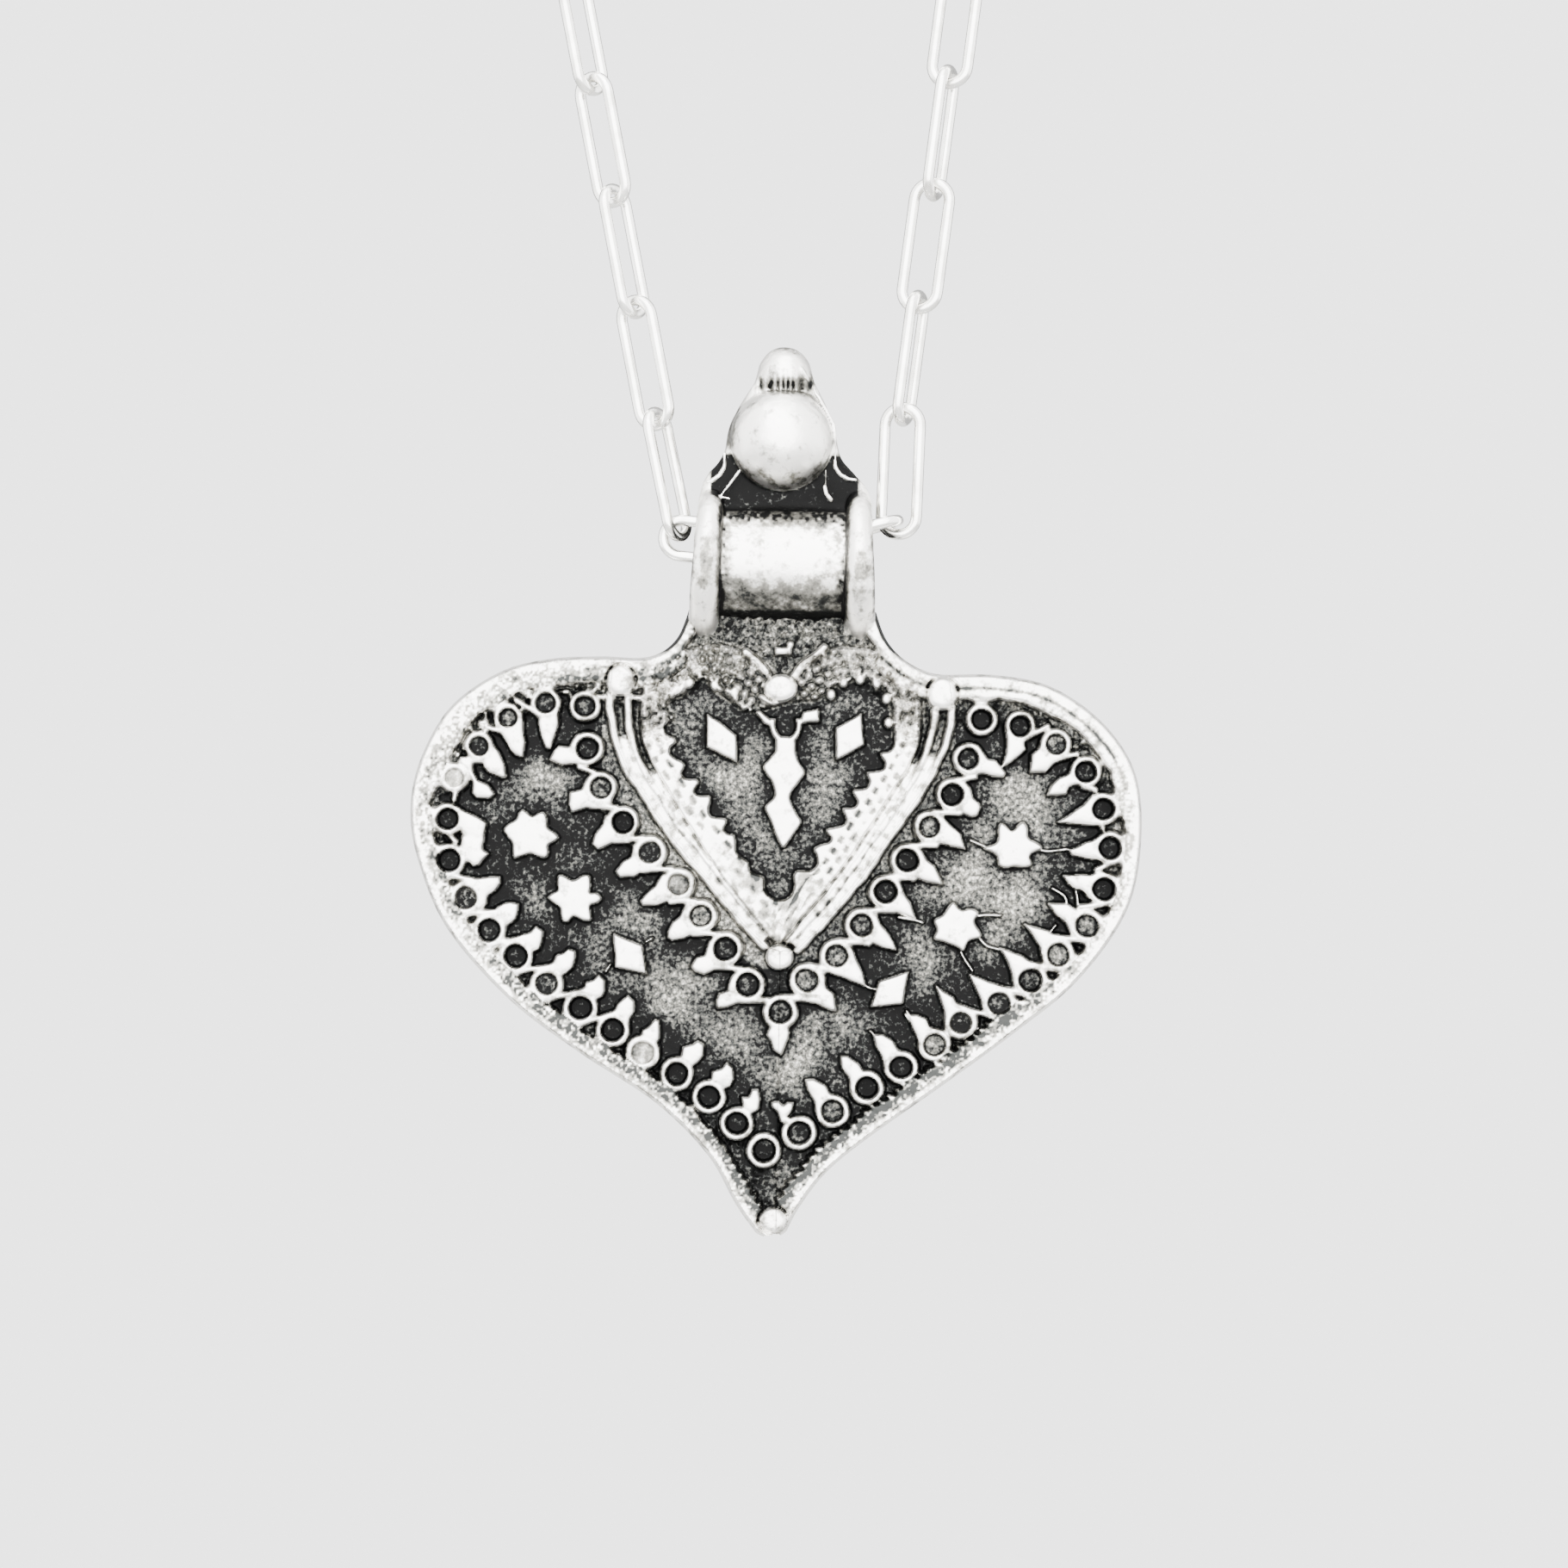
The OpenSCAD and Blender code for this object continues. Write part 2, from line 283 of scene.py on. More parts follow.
def sweep(path: Array, flat: Array, radius: float, sides: int) -> Mesh:
    """Sweep a round wire along a closed plane path.

    Args:
        path: Places along the middle line.
        flat: Unit normal of the path's plane.
        radius: Radius of the wire.
        sides: Corners of the wire's section.

    Returns:
        Vertices and quads.
    """
    way = np.roll(path, -1, 0) - np.roll(path, 1, 0)
    way /= np.linalg.norm(way, axis=1)[:, None]
    turn = np.linspace(0, 2 * math.pi, sides, endpoint=False)[None, :, None]
    ring = np.cos(turn) * np.cross(way, flat)[:, None, :] + np.sin(turn) * flat
    places = (path[:, None, :] + radius * ring).reshape(-1, 3)
    i, j = np.meshgrid(np.arange(len(path)), np.arange(sides), indexing="ij")
    i1, j1 = (i + 1) % len(path), (j + 1) % sides
    quads = np.stack([i * sides + j, i * sides + j1, i1 * sides + j1, i1 * sides + j], -1)
    return places, quads.reshape(-1, 4)


def merge(parts: list[Mesh]) -> Mesh:
    """Put several meshes together.

    Args:
        parts: Vertices and quads of each.

    Returns:
        Vertices and quads of them all.
    """
    starts = np.cumsum([0] + [len(places) for places, _ in parts])
    return (np.vstack([places for places, _ in parts]),
            np.vstack([quads + start for (_, quads), start in zip(parts, starts)]))


@dataclass(frozen=True)
class Finish:
    """What the finishes share: a name, and a shader that their nodes feed."""

    name: str

    def make(self) -> bpy.types.Material:
        """Build the material.

        Returns:
            The material.
        """
        material = bpy.data.materials.new(self.name)
        material.use_nodes = True
        tree = material.node_tree
        feed(tree, tree.nodes["Principled BSDF"], self.paint(tree))
        return material

    def paint(self, tree: bpy.types.NodeTree) -> dict:
        """Add the finish's nodes and give what the shader's inputs take, by name."""
        raise NotImplementedError


@dataclass(frozen=True)
class OxidisedCastSilver(Finish):
    """Sterling silver, cast in clay, blackened and then worn bright.

    The eye sees near-white tops with a satin gloss, a speckled grey ground, and black sulphide
    at the base of every wall where nothing has rubbed it away. The soot value of each vertex
    carries that sulphide and also painted shade: in enclosed corners and hollows, in the shadow
    of the bail's ball, and on the undersides of the tube and the ball.
    """

    name: str = "oxidised_cast_silver"
    bright: str = "#f8f6f2"
    spark: str = "#c4c1b8"
    rubbed: str = "#8f8d86"
    grey: str = "#54534e"
    dark: str = "#2e2f2e"
    black: str = "#0a0a0a"
    grit_mm: float = 0.12    # sand grain of the mould
    mottle_mm: float = 0.75  # patches where the patina is thinner
    pit_mm: float = 0.42     # dull pits in the worn tops

    def paint(self, tree: bpy.types.NodeTree) -> dict:
        """Mix ground and tops by the values "raised" and "soot" of each vertex.

        Args:
            tree: The material's node tree.

        Returns:
            What the shader's inputs take, by name.
        """
        place = add_node(tree, "TexCoord").outputs["Object"]
        # The soot value mixes real oxide with painted shade; it darkens the ground and dulls the
        # tops.
        raised, soot = (add_node(tree, "Attribute", {"attribute_name": name}).outputs["Fac"]
                        for name in ("raised", "soot"))
        grit, mottle, pits = (
            add_node(tree, "TexNoise", {"Vector": place, "Scale": 1 / (size * MM) / 2,
                                        "Detail": detail, "Roughness": rough})
            for size, detail, rough in ((self.grit_mm, 4.0, 0.65), (self.mottle_mm, 5.0, 0.6),
                                        (self.pit_mm, 3.0, 0.7)))
        patch = add_node(tree, "Math", {"operation": "MULTIPLY_ADD", 0: grit, 1: 3.0, 2: mottle})
        clear = add_node(tree, "Math", {"operation": "MULTIPLY_ADD", 0: soot, 1: -0.95, 2: -1.27})
        tone = add_node(tree, "Math", {"operation": "MULTIPLY_ADD", 0: patch, 1: 0.95, 2: clear})
        ground = add_node(tree, "ValToRGB", {"Fac": tone, "stops": (
            (0.0, self.black), (0.2, self.dark), (0.52, self.grey), (0.82, self.rubbed),
            (1.0, self.spark))})
        dull = add_node(tree, "Math", {"operation": "MULTIPLY_ADD", 0: soot, 1: 0.5, 2: pits})
        tops = add_node(tree, "ValToRGB", {"Fac": dull, "stops": (
            (0.56, self.bright), (0.73, self.rubbed), (0.96, self.dark))})
        edge = add_node(tree, "Math", {"operation": "MULTIPLY_ADD", 0: grit, 1: 0.35, 2: -0.175})
        worn = add_node(tree, "Math", {"operation": "ADD", "use_clamp": True, 0: raised, 1: edge})
        worn = add_node(tree, "MapRange", {"Value": worn, "From Min": 0.38, "From Max": 0.62})
        mix = add_node(tree, "Mix", {"data_type": "RGBA", "Factor": worn, 6: ground, 7: tops})
        return {
            "Base Color": mix.outputs[2],
            "Roughness": add_node(tree, "MapRange", {"Value": worn, "To Min": 0.55,
                                                     "To Max": 0.36}),
            "Metallic": add_node(tree, "MapRange", {"Value": worn, "To Min": 0.93, "To Max": 1.0}),
            "Normal": add_node(tree, "Bump", {"Height": grit, "Strength": 0.35,
                                              "Distance": 0.06 * MM})}


@dataclass(frozen=True)
class DrawnSilver(Finish):
    """Silver wire, drawn through a die, soldered and tumbled bright.

    The eye sees a clean white metal with a soft highlight along each side and faint draw lines.
    """

    name: str = "drawn_bright_silver"
    colour: str = "#f7f6f3"
    scuffed: str = "#dedcd7"
    scuff_mm: float = 0.5

    def paint(self, tree: bpy.types.NodeTree) -> dict:
        """Scuff the wire.

        Args:
            tree: The material's node tree.

        Returns:
            What the shader's inputs take, by name.
        """
        place = add_node(tree, "TexCoord").outputs["Object"]
        scuff = add_node(tree, "TexNoise", {"Vector": place, "Detail": 4.0,
                                            "Scale": 1 / (self.scuff_mm * MM) / 2})
        return {
            "Base Color": add_node(tree, "ValToRGB", {"Fac": scuff, "stops": (
                (0.3, self.scuffed), (0.55, self.colour))}),
            "Metallic": 1.0,
            "Roughness": add_node(tree, "MapRange", {"Value": scuff, "To Min": 0.26,
                                                     "To Max": 0.16}),
            "Normal": add_node(tree, "Bump", {"Height": scuff, "Strength": 0.12,
                                              "Distance": 0.02 * MM})}


@dataclass(frozen=True)
class PaintedBoard(Finish):
    """Matt painted board under the object, which the eye sees as an even pale grey."""

    name: str = "matt_painted_board"
    colour: str = "#a9a9a8"

    def paint(self, tree: bpy.types.NodeTree) -> dict:
        """Give the even paint, which needs no nodes."""
        return {"Roughness": 0.9, "Base Color": linear(self.colour)}


class SubAssembly:
    """What the sub-assemblies share: which CAD body, slot and nodes their pieces belong to."""

    body: ClassVar[str] = "pendant"
    slot: ClassVar[Slot] = Slot.CAST
    nodes: ClassVar[tuple[str, ...]] = ("heart_pendant",)  # what each piece stands for

    def build(self) -> list[bpy.types.Object]:
        """Build the pieces, in the order of nodes."""
        raise NotImplementedError

    def dress(self, pieces: list[bpy.types.Object], material: bpy.types.Material) -> None:
        """Give the pieces their metal and tie them to the CAD model.

        Args:
            pieces: The pieces that build() made.
            material: Their metal.
        """
        for piece, node in zip(pieces, self.nodes):
            piece.data.materials.append(material)
            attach(piece, self.body)
            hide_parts(node)
            LOG.info("%s: %d faces", piece.name, len(piece.data.polygons))


class Track:
    """A curve on the face that can tell how near, how far along and on which side a place is."""

    def __init__(self, points: Array, spacing: float = 0.05) -> None:
        """Sample the curve at even steps.

        Args:
            points: Places along the curve.
            spacing: Distance between samples.
        """
        length = np.r_[0, np.cumsum(np.hypot(*np.diff(points, axis=0).T))]
        self.along = np.arange(0, length[-1], spacing)
        self.x, self.z = (np.interp(self.along, length, axis) for axis in points.T)
        tx, tz = np.gradient(self.x), np.gradient(self.z)
        norm = np.hypot(tx, tz) + 1e-12
        self.tx, self.tz = tx / norm, tz / norm
        self.tree = kdtree.KDTree(len(self.x))
        for k, (a, b) in enumerate(zip(self.x, self.z)):
            self.tree.insert((a, b, 0.0), k)
        self.tree.balance()

    def nearest(self, x: Array, z: Array) -> Array:
        """Number of the sample that is nearest to each place."""
        places = zip(x.ravel().tolist(), z.ravel().tolist())
        return np.array([self.tree.find((a, b, 0.0))[1] for a, b in places], int).reshape(x.shape)

    def measure(self, x: Array, z: Array) -> tuple[Array, Array]:
        """Signed distance, positive to the left of the curve's way, and length along it.

        Args:
            x: First coordinate of each place.
            z: Second coordinate of each place.

        Returns:
            Signed distance and distance along the curve.
        """
        k = self.nearest(x, z)
        dx, dz = x - self.x[k], z - self.z[k]
        side = np.sign(self.tx[k] * dz - self.tz[k] * dx)
        return np.hypot(dx, dz) * np.where(side == 0, 1, side), self.along[k]


@dataclass(frozen=True)
class Ring:
    """One cast ring of a border, with its ornament's corners as seen from its middle."""

    x: float
    z: float
    floor: float  # height of its hollow's floor
    radius: float
    ornament: Points


def rings(*rows: tuple[int, ...]) -> tuple[Ring, ...]:
    """Turn rows of hundredths of a millimetre into rings, the ornament's corners last."""
    return tuple(Ring(*marks(*row[:4], width=4)[0], marks(*row[4:])) for row in rows)


@dataclass
class Relief:
    """The ornamented face of the heart as heights above its field, on a fine square grid."""

    cell: float = 0.062
    relief_h: float = 0.75
    rim_h: float = 0.72
    rim_w: float = 1.12
    wire_h: float = 0.76
    wire_w: float = 0.42
    band_h: float = 0.84
    fill_h: float = 0.64           # metal between the band and its wires
    flank: float = 0.16            # width of the band's steep sides
    hole_share: float = 0.63       # a hollow's radius in its ring's
    rope_pitch: float = 0.5
    bead_w: float = 0.52           # beads of the band's lobes, across and along it
    bead_l: float = 0.56
    draft: float = 0.28            # how far the rim's side leans out to the outline
    crisp_z: float = -24.0         # below it the rings stand apart
    face_x: tuple[float, float] = (-19.9, 19.6)  # reach of the grid
    face_z: tuple[float, float] = (-36.1, -2.55)
    tip: tuple[float, float] = (-0.05, -35.69)
    fork: tuple[float, float] = (0.26, -8.5)     # head of the middle figure
    scrap: tuple[float, float] = (0.1, -4.65)    # flake of metal left on the neck
    rope_rows: Points = marks(55, 70, 105, 50, 155, 80, 205, 120)  # place and depth of each row
    fill_tops: Points = marks(-840, -1020, -920, -960)  # left and right, outer and inner gap
    # light, murky and rubbed patch of the ground: middle and reach
    spots: Points = marks(1150, -1350, 400, 500, -1150, -1650, 500, 450, 30, -3260, 100, 150,
                          width=4)
    # outline from the neck down; a ring's row is x, z, floor, radius and its ornament's corners
    left_side: Points = marks(-460, 0, -480, -180, -515, -310, -560, -405, -640, -475, -750, -505,
        -960, -500, -1230, -518, -1485, -590, -1740, -775, -1895, -1050, -1947, -1320, -1900, -1600,
        -1740, -1955, -1415, -2315, -1050, -2585, -635, -2850, -357, -3120, -210, -3370, -95, -3530)
    right_side: Points = marks(460, 0, 480, -180, 515, -310, 560, -405, 635, -485, 740, -545,
        850, -570, 1120, -568, 1420, -625, 1700, -815, 1875, -1085, 1908, -1450, 1833, -1815,
        1580, -2180, 1250, -2460, 885, -2735, 500, -3015, 280, -3200, 140, -3385, 70, -3520)
    left_rings: tuple[Ring, ...] = rings(
        (-1029, -767, 20, 84),
        (-1235, -755, 20, 80, -31, -49, -39, -106, -23, -179, 6, -235, 30, -235, 50, -170, 67, -106,
         58, -41),
        (-1432, -834, 30, 78, -57, -32, -32, -89, 8, -162, 41, -195, 77, -211, 93, -130, 81, -73,
         73, 24),
        (-1583, -983, 40, 80, 24, -57, 24, -114, 49, -138, 122, -166, 146, -162, 138, -97, 97, -24,
         49, 16),
        (-1708, -1152, 60, 80, 16, 90, 64, 50, 97, -20, 97, -80, 120, -103, 186, -107, 210, -87,
         178, -38, 121, -14, 97, 35, 90, 90),
        (-1743, -1369, 0, 86, 53, 57, 118, 32, 166, 8, 207, -16, 199, -65, 183, -106, 134, -97,
         77, -65),
        (-1734, -1588, 0, 92, 70, 126, 130, 126, 175, 110, 179, 61, 211, 37, 195, 20, 162, -20,
         130, -28, 97, -4, 60, 28),
        (-1641, -1782, 45, 92, -16, 69, 24, 101, 122, 110, 179, 110, 183, 77, 154, 37, 114, 12,
         106, -37, 65, -69),
        (-1514, -1949, 10, 92, 30, 75, 37, 118, 77, 142, 110, 150, 154, 142, 150, 101, 138, 61,
         101, 28, 61, 43),
        (-1372, -2084, 0, 92, 28, 75, 28, 110, 73, 126, 97, 158, 138, 134, 138, 85, 122, 37, 97, 28,
         60, 40),
        (-1207, -2228, 42, 92, 20, 80, 32, 110, 49, 150, 81, 158, 106, 187, 146, 175, 146, 134,
         130, 85, 97, 53, 57, 50),
        (-1031, -2351, -10, 92, 20, 80, 20, 134, 69, 146, 97, 175, 126, 146, 126, 89, 110, 57,
         85, 49, 45, 60),
        (-861, -2466, -5, 92, -50, 70, 8, 101, 24, 138, 81, 183, 114, 154, 114, 97, 89, 65, 80, 24),
        (-700, -2579, 55, 95, -12, 77, -4, 118, 28, 134, 61, 175, 85, 166, 89, 101, 85, 61, 53, 53),
        (-520, -2691, -5, 92, -49, 76, 24, 93, 32, 141, 81, 157, 106, 175, 138, 157, 138, 101,
         114, 68, 65, 36),
        (-349, -2809, -10, 92, 10, 80, 16, 134, 60, 146, 90, 180, 122, 150, 126, 95, 110, 57,
         85, 49, 45, 60),
        (-200, -2947, -10, 92, 30, 80, 20, 138, 60, 138, 77, 179, 110, 179, 122, 130, 114, 73,
         70, 50),
        (-57, -3086, -10, 95))
    right_rings: tuple[Ring, ...] = rings(
        (1053, -808, -5, 86),
        (1257, -840, -5, 84, -70, -30, -72, -100, -75, -147, -92, -215, -45, -192, 8, -147,
         30, -124, 15, -70),
        (1444, -933, 35, 86, -124, -57, -132, -147, -50, -147, -19, -109, 4, -64, -72, -11),
        (1603, -1074, -5, 86, -80, -10, -136, -34, -181, -79, -200, -125, -151, -124, -98, -117,
         -83, -79, -50, -60),
        (1700, -1267, -10, 88, -60, 68, -102, 15, -154, -15, -240, -72, -154, -83, -49, -90,
         -19, -83),
        (1738, -1475, -5, 90, -60, 50, -129, 31, -177, 3, -220, -7, -205, -38, -157, -49, -94, -63,
         -45, -55),
        (1706, -1688, -10, 90, -7, 84, -63, 70, -118, 77, -215, 70, -188, 28, -153, 0, -118, -7,
         -77, -49),
        (1620, -1881, 30, 92, -50, 80, -101, 111, -205, 115, -164, 56, -136, 35, -108, 7, -80, -42),
        (1472, -2036, 38, 92, -20, 80, -49, 125, -132, 146, -180, 160, -125, 84, -97, 42, -90, 10,
         -50, 0),
        (1328, -2172, 12, 92, 20, 80, -17, 104, -38, 125, -115, 157, -165, 165, -122, 97, -101, 49,
         -87, 0),
        (1164, -2296, 42, 92, 30, 63, -7, 84, -35, 104, -111, 139, -155, 155, -139, 111, -118, 63,
         -97, 28, -80, 0),
        (969, -2400, 42, 92, 20, 80, -24, 101, -41, 134, -97, 162, -135, 195, -122, 150, -106, 101,
         -93, 61, -85, 4),
        (830, -2518, 35, 92, 30, 79, -24, 97, -45, 138, -93, 158, -126, 154, -150, 180, -122, 106,
         -101, 57, -85, 8),
        (657, -2639, 0, 92, 28, 69, -20, 97, -45, 138, -101, 170, -150, 166, -134, 106, -101, 57,
         -90, 8),
        (480, -2749, -10, 92, 32, 70, -24, 85, -49, 126, -106, 166, -146, 166, -138, 101, -97, 53,
         -90, 4),
        (302, -2873, 20, 92, 32, 70, -20, 93, -41, 134, -106, 166, -150, 162, -138, 110, -97, 45,
         -90, -4),
        (127, -2991, 12, 95, -30, 70, -65, 89, -37, 122, -33, 160, -65, 162, -89, 142, -110, 165,
         -145, 162, -142, 135, -114, 110, -100, 60, -60, 40))
    left_v_rings: tuple[Ring, ...] = rings(
        (-1013, -990, -5, 88, -50, 70, -93, 4, -150, 12, -175, -12, -199, -61, -134, -89, -61, -81,
         0, -85),
        (-942, -1195, 28, 88, -60, 50, -95, -10, -162, -24, -166, -89, -146, -130, -73, -106,
         24, -110, 60, -70),
        (-822, -1374, -5, 88, -90, 30, -106, -20, -146, -61, -162, -118, -130, -142, -57, -110,
         32, -110, 50, -60),
        (-676, -1531, 42, 92, -85, 30, -101, -28, -142, -52, -179, -100, -158, -133, -85, -129,
         -45, -100, 12, -95),
        (-526, -1694, 50, 90, -85, 45, -122, -12, -155, -37, -200, -93, -187, -118, -106, -118,
         -58, -93, 10, -85),
        (-405, -1859, 38, 90, -70, 70, -93, 28, -118, -16, -150, -37, -175, -85, -175, -118,
         -150, -134, -85, -122, -53, -101, 20, -95),
        (-273, -2030, 12, 94, -85, 30, -110, -37, -150, -45, -179, -93, -158, -118, -110, -134,
         -61, -114, 20, -95),
        (-152, -2215, 10, 94, -80, 40, -101, -4, -106, -37, -154, -53, -170, -93, -158, -126,
         -106, -122, -49, -97, 30, -90))
    right_v_rings: tuple[Ring, ...] = rings(
        (985, -1014, 15, 86, 50, 60, 107, -4, 148, -8, 197, -75, 182, -98, 130, -94, 84, -79,
         -6, -88),
        (905, -1205, -5, 88, 60, 65, 92, 34, 110, -19, 141, -41, 148, -64, 130, -109, 99, -117,
         54, -94, -14, -88),
        (787, -1376, 36, 88, 70, 50, 120, 4, 166, -34, 192, -115, 136, -105, 53, -87, -30, -79),
        (674, -1553, -5, 92, 75, 41, 99, 4, 145, -26, 167, -79, 184, -125, 107, -113, 50, -90,
         -50, -80),
        (562, -1720, 0, 92, 70, 34, 99, -11, 133, -57, 160, -140, 69, -109, 9, -102, -25, -85),
        (438, -1896, 25, 92, 80, 50, 106, 0, 147, -45, 170, -83, 186, -130, 117, -117, 64, -94,
         -34, -85),
        (311, -2060, 40, 92, 80, 30, 106, -23, 136, -83, 152, -158, 87, -136, 19, -102, -50, -80),
        (156, -2190, 30, 95, 85, 10, 104, -42, 145, -70, 156, -155, 130, -155, 62, -128, -10, -105,
         -55, -85),
        (18, -2357, 20, 95, -30, -70, -62, -97, -70, -126, -50, -150, -34, -199, 6, -224, 27, -183,
         47, -142, 50, -110, 30, -70))
    bars: Lines = lines((10, -82, 35, 98), (-10, -82, -40, 98), (-40, -98, -35, 80),
        (40, -98, 20, 80))
    left_wires: Lines = lines(
        (-895, -690, -898, -780, -880, -870, -850, -983, -797, -1110, -707, -1237, -593, -1410,
         -480, -1550, -300, -1760, -190, -1890, -70, -2010),
        (-805, -700, -798, -840, -770, -970, -720, -1100, -640, -1220, -535, -1375, -425, -1510,
         -250, -1720, -140, -1850, -40, -1950))
    right_wires: Lines = lines(
        (900, -740, 890, -850, 865, -940, 820, -1050, 770, -1150, 660, -1320, 545, -1485,
         435, -1650, 320, -1795, 210, -1925, 100, -2030),
        (810, -760, 798, -860, 760, -990, 710, -1110, 605, -1280, 490, -1450, 380, -1610,
         270, -1750, 160, -1880, 50, -1990))
    neck_wires: Lines = lines(
        (-470, -350, -515, -430, -610, -510, -730, -565, -800, -595),
        (445, -320, 474, -377, 550, -438, 660, -520, 790, -620),
        (69, -600, 103, -540, 183, -480, 223, -440),
        (-84, -567, -117, -527, -190, -474),
        (-260, -2275, -183, -2290, -50, -2295),
        (85, -2290, 170, -2290, 290, -2295))
    teeth: Points = marks(-485, -638, -560, -680, -350, -650, -250, -685, 323, -620, 414, -605,
        500, -625, 550, -705, 260, -690, 565, -830)
    band_outer: Points = marks(-10, -610, -110, -520, -220, -450, -430, -435, -630, -530,
        -730, -690, -735, -890, -690, -1030, -635, -1130, -335, -1600, 0, -2020)
    left_inner: Points = marks(-10, -740, -100, -770, -180, -775, -270, -725, -340, -675,
        -390, -625, -450, -610, -490, -630, -510, -660, -533, -700, -575, -710, -609, -745,
        -600, -785, -566, -805, -570, -835, -605, -855, -614, -890, -595, -915, -552, -930,
        -552, -960, -575, -975, -580, -1010, -550, -1035, -508, -1055, -505, -1085, -520, -1110,
        -495, -1140, -435, -1140, -428, -1165, -450, -1195, -445, -1220, -410, -1230, -366, -1230,
        -362, -1260, -372, -1300, -360, -1335, -320, -1340, -282, -1345, -280, -1375, -295, -1400,
        -270, -1430, -240, -1430, -230, -1475, -225, -1525, -185, -1555, -155, -1575, -150, -1620,
        -110, -1640, -75, -1655, -70, -1710, -40, -1755, 5, -1770)
    right_inner: Points = marks(50, -730, 190, -710, 270, -640, 420, -590, 550, -650, 580, -730,
        595, -860, 598, -955, 575, -985, 518, -993, 525, -1010, 550, -1040, 545, -1075, 510, -1085,
        448, -1088, 455, -1105, 472, -1140, 462, -1175, 430, -1183, 374, -1187, 385, -1210,
        408, -1245, 398, -1275, 370, -1282, 322, -1283, 330, -1300, 350, -1340, 342, -1370,
        290, -1385, 224, -1400, 240, -1415, 275, -1440, 265, -1465, 220, -1475, 175, -1500,
        197, -1535, 200, -1575, 170, -1612, 125, -1615, 90, -1615, 77, -1645, 85, -1690, 70, -1740,
        40, -1765)
    dark_ovals: Points = marks(150, -1566, 42, 46, 10, -1695, 60, 62, -115, -1595, 30, 34,
        -170, -1490, 50, 50, 210, -1425, 40, 42, -195, -770, 25, 20, width=4)
    stars: Lines = lines(
        (-1303, -1441, -45, 125, -20, 110, 8, 92, 40, 112, 66, 112, 80, 75, 85, 30, 120, 10,
         145, -20, 115, -42, 88, -60, 92, -100, 80, -125, 40, -118, 0, -105, -50, -120, -85, -128,
         -93, -85, -97, -50, -125, -20, -145, 16, -120, 50, -80, 75, -65, 110),
        (-1068, -1775, -85, 118, -50, 110, -6, 90, 40, 115, 75, 115, 80, 70, 75, 28, 110, 28,
         138, 2, 115, -25, 78, -40, 85, -80, 85, -115, 45, -115, -6, -98, -35, -128, -65, -120,
         -75, -80, -80, -50, -120, -20, -142, 4, -115, 25, -92, 37, -95, 80),
        (1228, -1473, -68, 122, -40, 110, -7, 85, 25, 115, 55, 130, 74, 95, 80, 50, 120, 25,
         150, -5, 100, -30, 87, -50, 98, -90, 60, -105, 10, -100, -35, -110, -75, -95, -85, -55,
         -115, -30, -150, -10, -95, 15, -80, 45, -78, 90),
        (950, -1900, -34, 132, -8, 105, 15, 93, 60, 100, 100, 80, 83, 38, 90, 10, 120, -45, 60, -65,
         38, -95, 23, -125, -23, -98, -75, -75, -130, -62, -115, -15, -132, 38, -90, 60, -65, 100))
    lozenges: Lines = lines((-860, -1960, -712, -2016, -685, -2170, -850, -2135),
        (535, -2186, 690, -2135, 661, -2306, 495, -2325),
        (-387, -798, -234, -906, -230, -1050, -386, -970),
        (288, -864, 423, -783, 437, -948, 294, -1030))
    figure: Points = marks(-21, -920, -26, -990, -60, -1030, -90, -1070, -70, -1115, -44, -1150,
        -27, -1205, -36, -1240, -78, -1285, -50, -1350, -20, -1430, 20, -1495, 50, -1460, 80, -1415,
        113, -1360, 90, -1320, 56, -1250, 58, -1210, 100, -1150, 132, -1100, 96, -1040, 80, -990,
        70, -920)
    wings: Lines = lines((116, -785, 196, -760, 200, -830, 150, -834, 105, -845),
        (-215, -755, -175, -738, -162, -760, -200, -772),
        (-132, -785, -110, -780, -50, -830, -55, -860, -85, -850))
    beads: Points = marks(-843, -630, 78, 84, 844, -679, 82, 86, 10, -2068, 74, 70,
        -2, -3448, 77, 70, -3, -660, 90, 74, width=4)
    cracks: Lines = lines((1000, -1440, 1050, -1460, 1110, -1485),
        (1350, -1485, 1410, -1495, 1510, -1480), (1040, -1840, 1100, -1835, 1170, -1835),
        (1050, -1945, 1095, -1990, 1160, -2015), (960, -2030, 1000, -2090, 1030, -2130),
        (440, -2190, 475, -2220, 520, -2230), (630, -1850, 690, -1860, 760, -1880),
        (-695, -2000, -660, -1980), (-875, -2120, -900, -2160),
        (1440, -1690, 1500, -1730, 1520, -1790), (1560, -1700, 1575, -1790),
        (1460, -1880, 1420, -1930), (700, -2400, 675, -2360), (530, -2490, 490, -2450))

    def __post_init__(self) -> None:
        """Lay out the grid and the outline."""
        self.corners = np.vstack([flow(self.left_side, 24), [self.tip],
                                  flow(self.right_side, 24)[::-1]])
        self.outline = Track(self.corners, 0.03)
        self.x, self.z = np.meshgrid(np.arange(*self.face_x, self.cell),
                                     np.arange(*self.face_z, self.cell))
        self.height, self.dull, self.lobe, self.pure, self.near_band = np.zeros(
            (5, *self.x.shape))
        # Tone of the hollows' floors: oxide and painted shade, -1 where there is no hollow.
        self.floor_soot_and_shade = np.full(self.x.shape, -1.0)
        self.wx = self.x + 0.035 * cloud(self.x, self.z, 0.7, 3)
        self.wz = self.z + 0.035 * cloud(self.x, self.z, 0.7, 4)

    def window(self, cx: float, cz: float, reach: float) -> tuple[Part, Array, Array]:
        """Part of the grid round one place.

        Args:
            cx: First coordinate of the place.
            cz: Second coordinate of the place.
            reach: How far the part goes to each side.

        Returns:
            Row and column slices, and both coordinates there, a little uneven as cast.
        """
        j, i = int((cx - self.face_x[0]) / self.cell), int((cz - self.face_z[0]) / self.cell)
        n = int(reach / self.cell) + 2
        part = slice(max(i - n, 0), i + n), slice(max(j - n, 0), j + n)
        return part, self.wx[part], self.wz[part]

